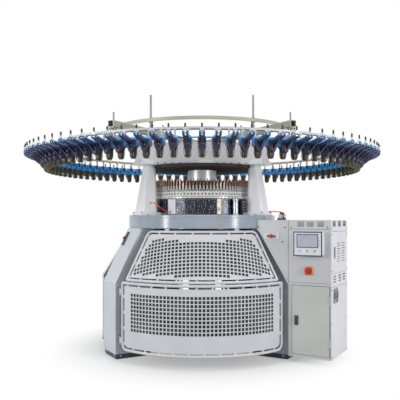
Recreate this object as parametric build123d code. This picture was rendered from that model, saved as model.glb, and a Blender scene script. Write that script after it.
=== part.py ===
# Circular knitting machine with a 30 inch needle cylinder and 90 positive yarn feeders.
# Millimetres. The machine axis is Z, the floor is z = 0 and the front faces -Y.
# Around the axis a piece is placed by its station: an angle in degrees from the front, positive
# towards +X. At station 0 the tangent is +X and outwards is -Y, and `around` turns a piece from there.
import os
from math import cos, hypot, radians, sin, tan

from build123d import *

# Stations
leg_stations = {"right": 60, "rear": 180, "left": -60}
gate_stations = {"front": 0, "right": 120, "left": -120}
arm_stations = (30, 90, 150, 210, 270, 330)
running_gap = 0.3
bearing_clearance = 0.05
cut_over = 1.0

# Legs, feet and base
foot_height = 41.0
foot_inset = 8.0
leg_width = 270.0
leg_depth = 330.0
leg_lean = 223.0
gate_radius = 894.0
gate_thickness = 8.0
gate_hinge_radius = gate_radius - gate_thickness / 2
leg_outer_u = gate_hinge_radius
leg_inner_u = leg_outer_u - leg_depth
leg_top_u = leg_outer_u - leg_lean
leg_knee_z = 620.0
spider_bottom_z = 60.0
spider_beam = 80.0
spider_hub_radius = 75.0
spider_hub_face_count = 12
spider_hub_height = 120.0

# Bed
bed_radius = 660.0
bed_face_count = 72
bed_bottom_z = 1066.0
bed_thickness = 111.0
bed_bore_radius = 408.0
bed_top_z = bed_bottom_z + bed_thickness

# Columns
column_u = 557.0
column_base_u = 79.0
column_base_t = 79.0
column_top_length = 93.0
column_top_t = 46.0
column_corner = 22.0
column_edge_gap = 14.0
column_foot_size = 190.0
column_foot_height = 22.0
column_cap_size = 206.0
column_cap_height = 42.0

# Top housing and hub
housing_bottom_z = 1608.0
housing_height = 189.0
housing_face_u = 360.0
housing_corner_u = 640.0
housing_top_z = housing_bottom_z + housing_height
cover_disc_radius = 505.0
cover_disc_height = 26.0
disc_notch_margin = 4.0
disc_face_count = 36
hub_radius = 130.0
dial_plate_radius = 392.0
dial_plate_height = 25.0

# Knitting head
cylinder_radius = 381.0
cylinder_wall = 26.0
cylinder_top_z = 1332.0
gear_radius = 440.0
gear_inner_radius = 350.0
gear_height = 50.0
gear_gap = 6.0
cam_radius = 448.0
cam_bore_radius = 400.0
cam_height = 139.0
cam_face_count = 30
eyelet_radius = 436.0
eyelet_height = 62.0
eyelet_face_count = 30
finger_tip_radius = 430.0
finger_root_radius = 416.0
finger_height = 108.0
dial_radius = 378.0
dial_height = 23.0
dial_gap = 1.0
dial_plate_gap = 6.0
dial_shaft_radius = 40.0
dial_shaft_engagement = 78.0
gear_top_z = bed_bottom_z - gear_gap
dial_bottom_z = cylinder_top_z + dial_gap
dial_top_z = dial_bottom_z + dial_height
dial_plate_top_z = dial_top_z + dial_plate_gap + dial_plate_height

# Take-down
take_down_half_width = 354.0
take_down_plate = 18.0
take_down_depth = 260.0
take_down_beam_height = 60.0
take_down_beam_depth = 120.0
pivot_radius = 20.0
pivot_length = 50.0
nip_roller_radius = 24.0
nip_gap = 1.0
nip_roller_z = 640.0
wind_shaft_radius = 16.0
wind_shaft_z = 420.0

# Drive
pinion_radius = 50.0
pinion_u = gear_radius + running_gap + pinion_radius
drive_shaft_radius = 15.0
drive_shaft_in_bed = 34.0
drive_pulley_radius = 56.0
motor_pulley_radius = 38.0
pulley_height = 30.0
pulley_face_count = 18
belt_z = 915.0
belt_width = 22.0
belt_thickness = 4.0
motor_cover_inset = 85.0
motor_radius = 65.0
motor_height = 175.0
motor_shaft_radius = 12.0
motor_plate_z = 940.0
motor_plate_thickness = 10.0
motor_hole_gap = 3.0
motor_shaft_tail = 10.0
motor_fins = 16
motor_fin_height = 5.0
belt_window_height = 60.0
belt_window_width = 150.0
bearing_block_z = 960.0
bearing_block_height = 30.0
bearing_block_width = 64.0

# Arms, rods and upper ring
arm_size = 50.0
arm_wall = 4.0
arm_inner_u = 110.0
feeder_ring_radius = 1318.0
arm_end_inset = 18.0
arm_outer_u = feeder_ring_radius - arm_end_inset
rod_radius = 8.0
rod_face_count = 8
rod_rise = 273.0
rod_top_z = housing_top_z + arm_size + rod_rise
upper_ring_inner = 816.0
rod_inset = 10.0
rod_u = upper_ring_inner - rod_inset
upper_ring_face_count = 60
upper_ring_thickness = 8.0
upper_ring_height = 28.0
upper_ring_z = 1908.0
upper_clamp_height = 44.0
upper_clamp_width = 28.0
hanger_reach = 60.0
hanger_plate = 10.0
hanger_width = 40.0

# Feeder ring and feeders
feeder_count = 90
segment_stations = {"front": 0, "right": 120, "left": -120}
feeder_ring_thickness = 12.0
feeder_ring_height = 21.0
feeder_ring_z = 1749.0
feeder_width = 46.0
feeder_reach = 234.0
feeder_tip_u = feeder_ring_radius + feeder_reach
feeder_arm_z = 1672.0
feeder_arm_height = 12.0
feeder_body_reach = 97.0
feeder_body_outer_u = feeder_ring_radius + feeder_body_reach
feeder_body_bottom_z = 1620.0
wheel_reach = 52.0
wheel_u = feeder_ring_radius + wheel_reach
wheel_diameter = 60.0
wheel_bottom_z = 1556.0
guide_depth = 14.0
guide_top_z = 1756.0
feeder_belt_z = 1691.0
feeder_belt_width = 9.0
feeder_belt_thickness = 1.6
feeder_belt_face_count = 30

# Gates
lower_gate_bottom_z = 90.0
lower_gate_top_z = 645.0
lower_gate_half_angle = 46.5
gate_split = 6.0
upper_gate_top_z = 1049.0
upper_gate_top_radius = 648.0
upper_gate_half_angle = 43.5
gate_corner = 60.0
gate_corner_face_count = 3
gate_folds = 12
gate_hinge_sides = {"front": -1, "right": 1, "left": -1}
gate_hinge_offset = 0.58
gate_knuckle_radius = 12.0
knuckle_sides = 8
hinge_heights = (170.0, 560.0)
hinge_knuckle_height = 40.0
hinge_lug_height = 8.0
hinge_lug_size = 6.0
hanger_tab_width = 40.0
hanger_tab_thickness = 4.0
hanger_angles = (-26, 26)

# Drive cover and control cabinet, in the frame of the right leg
cover_half_width = 195.0
cover_wall = 3.0
cover_inner_u = 632.0
cover_leg_gap = 20.0
cover_outer_u = leg_outer_u + cover_leg_gap
cover_top_z = 1136.0
cover_step_u = 659.0
cover_step_z = 1037.0
cover_bottom_z = 616.0
cover_bed_gap = 2.0
motor_u = cover_outer_u - motor_cover_inset
cabinet_width = 350.0
cabinet_outer_u = cover_outer_u + cabinet_width
cabinet_back_t = 245.0
cabinet_bottom_z = 50.0
cabinet_wall = 3.0
cabinet_shelf_z = 640.0
cabinet_bracket_height = 60.0
cabinet_bracket_heights = (150.0, 480.0)
cabinet_bracket_width = 200.0
door_width = 306.0
door_frame = 13.0
door_outer_u = cabinet_outer_u - door_frame
door_inner_u = door_outer_u - door_width
door_bottom_z = 72.0
door_top_z = 618.0
door_thickness = 3.0
door_gap = 3.0
door_hinge_gap = 6.0
door_axis_u = door_outer_u + 2.0
door_axis_out = 2.0
door_barrel_radius = 3.5
door_barrel_height = 50.0
door_hinge_heights = (180.0, 510.0)
door_lug_reach = 1.5
door_lug_depth = 2.0
handle_inset = 39.0
handle_u = door_inner_u + handle_inset
handle_z = 343.0
handle_width = 26.0
handle_height = 76.0
latch_plate_thickness = 6.0
paddle_width = 20.0
paddle_height = 60.0
paddle_thickness = 8.0
mounting_plate_thickness = 3.0
mounting_margin = 30.0
inverter_size = (130.0, 90.0, 220.0)
contactor_count = 3
contactor_pitch = 60.0
contactor_size = (45.0, 80.0, 85.0)
display_inset = 52.0
display_width = 230.0
display_outer_u = cabinet_outer_u - display_inset
display_inner_u = display_outer_u - display_width
display_bottom_z = 854.0
display_top_z = 1046.0
display_depth = 65.0
display_corner = 14.0
switch_inset = 178.0
switch_u = cabinet_outer_u - switch_inset
switch_z = 737.0
switch_plate_size = 64.0
switch_plate_thickness = 14.0
knob_radius = 24.0
knob_depth = 26.0
knob_sides = 16
knob_grip_width = 12.0
fan_size = 120.0
fan_depth = 38.0
fan_opening = 110.0
fan_t = -81.0
fan_z = 542.0
fan_bridge_width = 24.0
fan_bridge_thickness = 4.0
fan_front_gap = 6.0
fan_hub_radius = 18.0
fan_hub_sides = 12
fan_blade_thickness = 3.0
fan_blades = 5
fan_tip_radius = 52.0

# Buttons
button_radius = 11.0
button_length = 8.7
button_travel = 3.0
button_sides = 8
button_pitch = 30.0
button_plate_thickness = 8.0
button_pocket_depth = 6.0
button_plate_height = 40.0
button_plate_margin = 17.0
right_button_inset = 140.0
right_button_u = cover_outer_u - right_button_inset
right_button_z = 1005.0
right_buttons = ("right_inch_button", "right_stop_button", "right_run_button")
left_buttons = ("left_inch_button", "left_stop_button", "left_run_button")
left_button_t = -75.0
left_button_z = 975.0

# Air lines, with (u, t, z) points in the frame of the leg beside them
hose_diameter = 8.0
hose_fitting_size = 16.0
right_hose_points = [
    (606, 87, 1209),
    (676, 87, 1209),
    (748, 72, 1204),
    (800, 22, 1182),
    (826, -50, 1154),
    (826, -100, 1154),
]
left_fitting_t = 73.0
cam_fitting_station = -36
left_hose_points = [
    (545, 92, 1283),
    (545, 146, 1283),
    (522, 196, 1240),
    (465.45, 207.23, 1204),
    (419.77, 186.9, 1204),
]
hose_face_count = 6
regulator_inset = 54.0
regulator_width = 60.0
regulator_outer_u = cover_outer_u - regulator_inset
regulator_u = (regulator_outer_u - regulator_width, regulator_outer_u)
regulator_t = (-148.0, -100.0)
regulator_base_height = 18.0
regulator_bowl_radius = 20.0
regulator_bowl_height = 26.0

nodes = {}


def around(shape, station):
    return Rot(0, 0, station) * shape


def block(u, t, z):
    """A box at station 0 between two radial, two tangential and two vertical places."""
    size = Box(t[1] - t[0], u[1] - u[0], z[1] - z[0])
    return Pos((t[0] + t[1]) / 2, -(u[0] + u[1]) / 2, (z[0] + z[1]) / 2) * size


def side_prism(outline, t):
    """An outline of (u, z) points, run along the tangent at station 0 between two places."""
    plane = Plane(origin=(t[0], 0, 0), x_dir=(0, -1, 0), z_dir=(-1, 0, 0))
    face = plane * make_face(Polyline(*outline, close=True))
    return extrude(face, amount=t[1] - t[0], dir=(1, 0, 0))


def turned(radius, bottom, top, bore=0.0):
    ring = Circle(radius) - Circle(bore) if bore else Circle(radius)
    return Pos(0, 0, bottom) * extrude(ring, amount=top - bottom)


def prism(radius, faces, bottom, top):
    return Pos(0, 0, bottom) * extrude(RegularPolygon(radius, faces), amount=top - bottom)


def faceted_ring(faces, outer, inner, bottom, top):
    ring = RegularPolygon(outer, faces) - RegularPolygon(inner, faces)
    return Pos(0, 0, bottom) * extrude(ring, amount=top - bottom)


def tapered(lower, upper):
    """A solid with flat sides between two outlines of as many (x, y, z) points."""
    faces = [Face(Wire.make_polygon(lower)), Face(Wire.make_polygon(upper))]
    for index in range(len(lower)):
        before = index - 1
        corners = [lower[before], lower[index], upper[index], upper[before]]
        faces.append(Face(Wire.make_polygon(corners)))
    return Solid(Shell(faces))


def leg_slope_u(z):
    """Where the leg's sloping outer face stands at a height."""
    share = (z - leg_knee_z) / (bed_bottom_z - leg_knee_z)
    return leg_outer_u + share * (leg_top_u - leg_outer_u)


def make_legs():
    """Three box legs that carry the bed, their foot blocks and the spider that ties them."""
    outline = [
        (leg_inner_u, foot_height),
        (leg_outer_u, foot_height),
        (leg_outer_u, leg_knee_z),
        (leg_top_u, bed_bottom_z),
        (leg_inner_u, bed_bottom_z),
    ]
    leg = side_prism(outline, (-leg_width / 2, leg_width / 2))
    window = block(
        (leg_inner_u - 1, leg_outer_u),
        (-belt_window_width / 2, belt_window_width / 2),
        (belt_z - belt_window_height / 2, belt_z + belt_window_height / 2),
    )
    feet = []
    for name, station in leg_stations.items():
        shape = leg - window if name == "right" else leg
        nodes[name + "_leg"] = around(shape, station)
        foot = block(
            (leg_inner_u + foot_inset, leg_outer_u - foot_inset),
            (foot_inset - leg_width / 2, leg_width / 2 - foot_inset),
            (0, foot_height),
        )
        feet.append(around(foot, station))
    nodes["leveling_feet"] = Compound(feet)

    hub_top = spider_bottom_z + spider_hub_height
    spider = prism(spider_hub_radius, spider_hub_face_count, spider_bottom_z, hub_top)
    for station in leg_stations.values():
        beam = block(
            (0, leg_inner_u),
            (-spider_beam / 2, spider_beam / 2),
            (spider_bottom_z, spider_bottom_z + spider_beam),
        )
        spider += around(beam, station)
    spider -= turned(
        pivot_radius + bearing_clearance, hub_top - pivot_length - 2, hub_top + 1
    )
    nodes["base_spider"] = spider


def make_bed():
    """The round bed plate, with the drive shaft's blind bearing bore in its underside."""
    bed = prism(bed_radius, bed_face_count, bed_bottom_z, bed_top_z)
    bed -= prism(bed_bore_radius, cam_face_count, bed_bottom_z - 1, bed_top_z + 1)
    bore = turned(
        drive_shaft_radius + bearing_clearance,
        bed_bottom_z - 1,
        bed_bottom_z + drive_shaft_in_bed + 2,
    )
    bed -= around(Pos(0, -pinion_u, 0) * bore, leg_stations["right"])
    nodes["bed_plate"] = bed


def column_section(inner_u, length, half_t, z):
    """A column's outline at one height: a rectangle with its corners cut off."""
    middle_u, half_u, cut = inner_u + length / 2, length / 2, column_corner
    corners = [
        (half_t - cut, half_u),
        (half_t, half_u - cut),
        (half_t, cut - half_u),
        (half_t - cut, -half_u),
        (cut - half_t, -half_u),
        (-half_t, cut - half_u),
        (-half_t, half_u - cut),
        (cut - half_t, half_u),
    ]
    return [(t, -middle_u - u, z) for t, u in corners]


def make_columns():
    """Columns with a straight inner edge and a sloping outer one, between two flanges."""
    inner_u = column_u - column_base_u
    foot_top_z = bed_top_z + column_foot_height
    base = column_section(inner_u, 2 * column_base_u, column_base_t, foot_top_z)
    top = column_section(inner_u, column_top_length, column_top_t, housing_bottom_z)
    foot_u = bed_radius - column_edge_gap - column_foot_size
    column = tapered(base, top)
    column += block(
        (foot_u, foot_u + column_foot_size),
        (-column_foot_size / 2, column_foot_size / 2),
        (bed_top_z, foot_top_z),
    )
    column += column_cap()
    for name, station in leg_stations.items():
        nodes[name + "_column"] = around(column, station)


def column_cap():
    """The flange on a column's head, which the housing's corner sits down over."""
    middle_u = column_u - column_base_u + column_top_length / 2
    half = column_cap_size / 2
    return block(
        (middle_u - half, middle_u + half),
        (-half, half),
        (housing_bottom_z, housing_bottom_z + column_cap_height),
    )


def make_housing():
    """The three-sided gear housing on the columns, the dark disc under it and the dial hub."""
    corners = []
    for station in leg_stations.values():
        turn = radians(station)
        half = abs(housing_corner_u * cos(radians(60)) - housing_face_u) / sin(radians(60))
        for side in (-half, half):
            x = housing_corner_u * sin(turn) + side * cos(turn)
            y = -housing_corner_u * cos(turn) + side * sin(turn)
            corners.append((x, y))
    plan = make_face(Polyline(*corners, close=True))
    housing = Pos(0, 0, housing_bottom_z) * extrude(plan, amount=housing_height)
    for station in leg_stations.values():
        housing -= around(column_cap(), station)
    nodes["top_housing"] = housing
    disc_bottom_z = housing_bottom_z - cover_disc_height
    disc = prism(cover_disc_radius, disc_face_count, disc_bottom_z, housing_bottom_z)
    notch_t = column_top_t + disc_notch_margin
    for station in leg_stations.values():
        notch = block(
            (column_u - column_base_u, cover_disc_radius + 1),
            (-notch_t, notch_t),
            (disc_bottom_z - 1, housing_bottom_z + 1),
        )
        disc -= around(notch, station)
    nodes["housing_cover_disc"] = disc
    hub = prism(hub_radius, disc_face_count, dial_plate_top_z, disc_bottom_z)
    hub += prism(
        dial_plate_radius, eyelet_face_count, dial_plate_top_z - dial_plate_height, dial_plate_top_z
    )
    hub -= turned(
        dial_shaft_radius + bearing_clearance,
        dial_plate_top_z - dial_plate_height - 1,
        dial_top_z + dial_shaft_engagement + 2,
    )
    nodes["dial_hub"] = hub


def fluted(count, tip, root, bottom, top, bore=None):
    """An upright body with straight V ridges all round it."""
    points = []
    for index in range(2 * count):
        radius = tip if index % 2 == 0 else root
        turn = radians(index * 180 / count - 90)
        points.append((radius * cos(turn), radius * sin(turn)))
    face = make_face(Polyline(*points, close=True))
    if bore:
        face -= bore
    return Pos(0, 0, bottom) * extrude(face, amount=top - bottom)


def make_head():
    """The stationary rings round the needle cylinder and the turning cylinder, gear and dial."""
    cam_top_z = bed_top_z + cam_height
    eyelet_top_z = cam_top_z + eyelet_height
    nodes["cam_box_ring"] = faceted_ring(
        cam_face_count, cam_radius, cam_bore_radius, bed_top_z, cam_top_z
    )
    nodes["eyelet_ring"] = faceted_ring(
        eyelet_face_count, eyelet_radius, cam_bore_radius, cam_top_z, eyelet_top_z
    )
    nodes["yarn_guide_ring"] = fluted(
        feeder_count,
        finger_tip_radius,
        finger_root_radius,
        eyelet_top_z,
        eyelet_top_z + finger_height,
        RegularPolygon(cam_bore_radius, eyelet_face_count),
    )
    nodes["drive_gear"] = faceted_ring(
        cam_face_count, gear_radius, gear_inner_radius, gear_top_z - gear_height, gear_top_z
    )
    nodes["needle_cylinder"] = faceted_ring(
        cam_face_count, cylinder_radius, cylinder_radius - cylinder_wall, gear_top_z, cylinder_top_z
    )
    dial = prism(dial_radius, cam_face_count, dial_bottom_z, dial_top_z)
    dial += turned(dial_shaft_radius, dial_top_z, dial_top_z + dial_shaft_engagement)
    nodes["dial"] = dial


def make_take_down():
    """The frame that turns under the cylinder, with a pair of nip rollers and a winding shaft."""
    beam_bottom_z = spider_bottom_z + spider_hub_height + running_gap
    frame_top_z = gear_top_z - gear_height
    half = take_down_half_width
    frame = block(
        (-take_down_beam_depth / 2, take_down_beam_depth / 2),
        (-half, half),
        (beam_bottom_z, beam_bottom_z + take_down_beam_height),
    )
    for side in (-1, 1):
        places = sorted((side * half, side * (half - take_down_plate)))
        frame += block(
            (-take_down_depth / 2, take_down_depth / 2), places, (beam_bottom_z, frame_top_z)
        )
    frame += turned(pivot_radius, beam_bottom_z - pivot_length, beam_bottom_z)
    nip_y = nip_roller_radius + nip_gap / 2
    rollers = {
        "front_nip_roller": (nip_roller_radius, -nip_y, nip_roller_z),
        "rear_nip_roller": (nip_roller_radius, nip_y, nip_roller_z),
        "winding_shaft": (wind_shaft_radius, 0.0, wind_shaft_z),
    }
    for name, (radius, y, z) in rollers.items():
        place = Pos(0, y, z) * Rot(0, 90, 0)
        nodes[name] = place * Cylinder(radius, 2 * half)
        frame -= place * Cylinder(radius + bearing_clearance, 2 * half + 2)
    nodes["take_down_frame"] = frame


def make_drive():
    """Motor, belt and the upright pinion shaft that turns the cylinder's gear."""
    station = leg_stations["right"]
    low, high = belt_z - pulley_height / 2, belt_z + pulley_height / 2
    gear_bottom_z = gear_top_z - gear_height

    def place(shape, u):
        return around(Pos(0, -u, 0) * shape, station)

    shaft = turned(drive_shaft_radius, high, bed_bottom_z + drive_shaft_in_bed)
    shaft += prism(pinion_radius, pulley_face_count, gear_bottom_z, gear_top_z)
    shaft += prism(drive_pulley_radius, pulley_face_count, low, high)
    nodes["pinion_shaft"] = place(shaft, pinion_u)
    bearing = block(
        (pinion_u - bearing_block_width / 2, leg_inner_u),
        (-bearing_block_width / 2, bearing_block_width / 2),
        (bearing_block_z, bearing_block_z + bearing_block_height),
    )
    journal = turned(
        drive_shaft_radius + bearing_clearance,
        bearing_block_z - 1,
        bearing_block_z + bearing_block_height + 1,
    )
    nodes["shaft_bearing"] = around(bearing - Pos(0, -pinion_u, 0) * journal, station)

    plate_top_z = motor_plate_z + motor_plate_thickness
    plate = side_prism(
        [
            (leg_slope_u(motor_plate_z), motor_plate_z),
            (motor_u + motor_radius, motor_plate_z),
            (motor_u + motor_radius, plate_top_z),
            (leg_slope_u(plate_top_z), plate_top_z),
        ],
        (cover_wall - cover_half_width, cover_half_width - cover_wall),
    )
    hole = turned(motor_shaft_radius + motor_hole_gap, motor_plate_z - cut_over, plate_top_z + cut_over)
    nodes["motor_plate"] = around(plate - Pos(0, -motor_u, 0) * hole, station)
    fins = fluted(
        motor_fins, motor_radius, motor_radius - motor_fin_height,
        plate_top_z, plate_top_z + motor_height,
    )
    nodes["main_motor"] = place(fins, motor_u)
    spindle = prism(motor_shaft_radius, knuckle_sides, low - motor_shaft_tail, plate_top_z - running_gap)
    spindle += prism(motor_pulley_radius, pulley_face_count, low, high)
    nodes["motor_pulley"] = place(spindle, motor_u)

    def belt_outline(grow):
        flat = cos(radians(180 / pulley_face_count))
        near = RegularPolygon((drive_pulley_radius + grow) / flat, pulley_face_count)
        far = RegularPolygon((motor_pulley_radius + grow) / flat, pulley_face_count)
        return make_hull((Pos(0, -pinion_u) * near).edges() + (Pos(0, -motor_u) * far).edges())

    face = belt_outline(running_gap + belt_thickness) - belt_outline(running_gap)
    belt = Pos(0, 0, belt_z - belt_width / 2) * extrude(face, amount=belt_width)
    nodes["main_belt"] = around(belt, station)


def make_arms():
    """A star of six open-ended square tubes, with the hangers, rods and clamps of its rings."""
    bottom, top = housing_top_z, housing_top_z + arm_size
    inside = arm_size / 2 - arm_wall
    middle = bottom + arm_size / 2
    arm = block((arm_inner_u, arm_outer_u), (-arm_size / 2, arm_size / 2), (bottom, top))
    arm -= block(
        (arm_inner_u - 1, arm_outer_u + 1),
        (-inside, inside),
        (middle - inside, middle + inside),
    )
    ring_top_z = feeder_ring_z + feeder_ring_height
    ring_in = feeder_ring_radius - feeder_ring_thickness / 2
    ring_out = feeder_ring_radius + feeder_ring_thickness / 2
    arm += side_prism(
        [
            (arm_outer_u - hanger_reach, bottom),
            (arm_outer_u - hanger_reach, bottom - hanger_plate),
            (ring_in, bottom - hanger_plate),
            (ring_in, ring_top_z),
            (ring_out, ring_top_z),
            (ring_out, bottom),
        ],
        (-hanger_width / 2, hanger_width / 2),
    )
    arm += Pos(0, -rod_u, 0) * prism(rod_radius, rod_face_count, top, rod_top_z)
    ring_middle_z = upper_ring_z + upper_ring_height / 2
    ring_flat_u = upper_ring_inner * cos(radians(180 / upper_ring_face_count))
    arm += block(
        (rod_u, ring_flat_u - running_gap),
        (-upper_clamp_width / 2, upper_clamp_width / 2),
        (ring_middle_z - upper_clamp_height / 2, ring_middle_z + upper_clamp_height / 2),
    )
    star = RegularPolygon(arm_inner_u, len(arm_stations), major_radius=False, rotation=30)
    star = Pos(0, 0, bottom) * extrude(star, amount=arm_size)
    star += [around(arm, station) for station in arm_stations]
    nodes["ring_arms"] = star
    nodes["upper_ring"] = faceted_ring(
        upper_ring_face_count,
        upper_ring_inner + upper_ring_thickness,
        upper_ring_inner,
        upper_ring_z,
        upper_ring_z + upper_ring_height,
    )


def make_feeder():
    """One feeder with its length of ring: arm, housing, storage wheel, bracket and yarn guide."""
    arm_top = feeder_arm_z + feeder_arm_height
    ring_in = feeder_ring_radius - feeder_ring_thickness / 2
    ring_out = feeder_ring_radius + feeder_ring_thickness / 2
    wheel_in, wheel_out = wheel_u - wheel_diameter / 2, wheel_u + wheel_diameter / 2
    outline = [
        (ring_in, feeder_ring_z),
        (ring_out, feeder_ring_z),
        (ring_out, arm_top),
        (feeder_tip_u, arm_top),
        (feeder_tip_u, feeder_arm_z),
        (feeder_body_outer_u, feeder_arm_z),
        (wheel_out, wheel_bottom_z),
        (wheel_in, wheel_bottom_z),
        (ring_in, feeder_body_bottom_z),
    ]
    feeder = side_prism(outline, (-feeder_width / 2, feeder_width / 2))
    front = Plane(origin=(0, -feeder_tip_u, 0), x_dir=(1, 0, 0), z_dir=(0, -1, 0))
    guide = make_face(
        Polyline(
            (-feeder_width / 2, arm_top), (feeder_width / 2, arm_top), (0, guide_top_z), close=True
        )
    )
    feeder += extrude(front * guide, amount=-guide_depth)
    half_pitch = radians(180 / feeder_count)
    ring = make_face(
        Polyline(
            (-ring_out * tan(half_pitch), -ring_out),
            (ring_out * tan(half_pitch), -ring_out),
            (ring_in * tan(half_pitch), -ring_in),
            (-ring_in * tan(half_pitch), -ring_in),
            close=True,
        )
    )
    return feeder + Pos(0, 0, feeder_ring_z) * extrude(ring, amount=feeder_ring_height)


def make_feeders():
    """Three welded segments of the feeder ring with thirty feeders each, and their drive belt."""
    feeder = make_feeder()
    pitch = 360 / feeder_count
    per_segment = feeder_count // len(segment_stations)
    first = -(per_segment // 2 - 1)
    segment = around(feeder, first * pitch)
    segment += [around(feeder, (first + index) * pitch) for index in range(1, per_segment)]
    for name, station in segment_stations.items():
        nodes[f"{name}_feeder_segment"] = around(segment, station)
    half_turn = radians(180 / feeder_belt_face_count)
    flat_u = feeder_ring_radius + feeder_ring_thickness / 2 + running_gap
    face = RegularPolygon((flat_u + feeder_belt_thickness) / cos(half_turn), feeder_belt_face_count)
    face -= RegularPolygon(flat_u / cos(half_turn), feeder_belt_face_count)
    belt = Pos(0, 0, feeder_belt_z) * extrude(face, amount=feeder_belt_width)
    nodes["feeder_belt"] = belt


def gate_sheet(bottom_radius, top_radius, bottom, top, half_angle):
    """A sheet folded to flats round the axis, centred on station 0, that may slope inwards."""
    levels = []
    for radius, z in ((bottom_radius, bottom), (top_radius, top)):
        turns = [
            radians(half_angle * (2 * step / gate_folds - 1)) for step in range(gate_folds + 1)
        ]
        outside = [(radius * sin(turn), -radius * cos(turn), z) for turn in turns]
        inner = radius - gate_thickness
        inside = [(inner * sin(turn), -inner * cos(turn), z) for turn in reversed(turns)]
        levels.append(outside + inside)
    return tapered(*levels)


def round_corners(sheet, half_angle, z, up):
    """Cuts a gate's two corners at height z to short flats round an arc; up is 1 at its top."""
    spare = gate_thickness
    waste = [(-gate_corner, up * spare), (-gate_corner, 0)]
    for step in range(1, gate_corner_face_count):
        turn = radians(90 * step / gate_corner_face_count)
        waste.append((gate_corner * (sin(turn) - 1), up * gate_corner * (cos(turn) - 1)))
    waste += [(0, -up * gate_corner), (spare, -up * gate_corner), (spare, up * spare)]
    plane = Plane(origin=(0, -gate_radius - 1, z), x_dir=(1, 0, 0), z_dir=(0, -1, 0))
    for side in (-1, 1):
        profile = make_face(Polyline(*[(side * x, y) for x, y in waste], close=True))
        sheet -= around(extrude(plane * profile, amount=-gate_radius / 2), side * half_angle)
    return sheet


def make_gates():
    """Three lower gates that swing on the legs, and three fixed upper ones that hang from the bed."""
    lower = gate_sheet(
        gate_radius, gate_radius, lower_gate_bottom_z, lower_gate_top_z, lower_gate_half_angle
    )
    lower = round_corners(lower, lower_gate_half_angle, lower_gate_bottom_z, -1)
    upper_bottom_z = lower_gate_top_z + gate_split
    upper = gate_sheet(
        gate_radius, upper_gate_top_radius, upper_bottom_z, upper_gate_top_z, upper_gate_half_angle
    )
    upper = round_corners(upper, upper_gate_half_angle, upper_gate_top_z, 1)
    for station in hanger_angles:
        middle_u = upper_gate_top_radius - gate_thickness / 2
        tab = block(
            (middle_u - hanger_tab_thickness / 2, middle_u + hanger_tab_thickness / 2),
            (-hanger_tab_width / 2, hanger_tab_width / 2),
            (upper_gate_top_z, bed_bottom_z),
        )
        upper += around(tab, station)

    lugs, uppers = [], []
    for name, station in gate_stations.items():
        side = gate_hinge_sides[name]
        hinge_angle = side * (lower_gate_half_angle + gate_hinge_offset)
        gate = lower
        leg_angle = side * 60
        leg_turn = radians(abs(leg_angle) - abs(hinge_angle))
        lug_u = gate_hinge_radius * cos(leg_turn)
        lug_t = gate_hinge_radius * sin(leg_turn)
        reach = sorted((-side * leg_width / 2, -side * (lug_t + hinge_lug_size)))
        for z in hinge_heights:
            half = hinge_knuckle_height / 2
            knuckle = RegularPolygon(gate_knuckle_radius, knuckle_sides)
            knuckle = Pos(0, -gate_hinge_radius, z - half) * extrude(knuckle, amount=2 * half)
            gate += around(knuckle, hinge_angle)
            for low in (z + half + running_gap, z - half - running_gap - hinge_lug_height):
                lug = block(
                    (lug_u - hinge_lug_size, lug_u + hinge_lug_size),
                    reach,
                    (low, low + hinge_lug_height),
                )
                lugs.append(around(lug, station + leg_angle))
        nodes[f"{name}_lower_gate"] = around(gate, station)
        uppers.append(around(upper, station))
    nodes["upper_gates"] = Compound(uppers)
    nodes["gate_hinge_lugs"] = Compound(lugs)


def make_cover():
    """The sheet cover over the motor and belt, open towards the leg and cut round the bed."""
    outline = [
        (cover_inner_u, cover_top_z),
        (cover_outer_u, cover_top_z),
        (cover_outer_u, cover_bottom_z),
        (cover_step_u, cover_step_z),
        (cover_inner_u, cover_step_z + cover_step_u - cover_inner_u),
    ]
    cover = side_prism(outline, (-cover_half_width, cover_half_width))
    cover -= block(
        (cover_inner_u - cover_wall, cover_outer_u - cover_wall),
        (cover_wall - cover_half_width, cover_half_width - cover_wall),
        (cover_bottom_z - cover_wall, cover_top_z - cover_wall),
    )
    cover -= turned(bed_radius + cover_bed_gap, bed_bottom_z - cover_bed_gap, bed_top_z)
    nodes["motor_cover"] = around(cover, leg_stations["right"])


def front_plane(u, t, z):
    """A plane on the cabinet's front, in station 0's frame: x outwards, y up, z to the viewer."""
    return Plane(origin=(t, -u, z), x_dir=(0, -1, 0), z_dir=(-1, 0, 0))


def slab(width, height, bottom, top, x=0.0, y=0.0):
    return Pos(x, y, (bottom + top) / 2) * Box(width, height, top - bottom)


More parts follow.
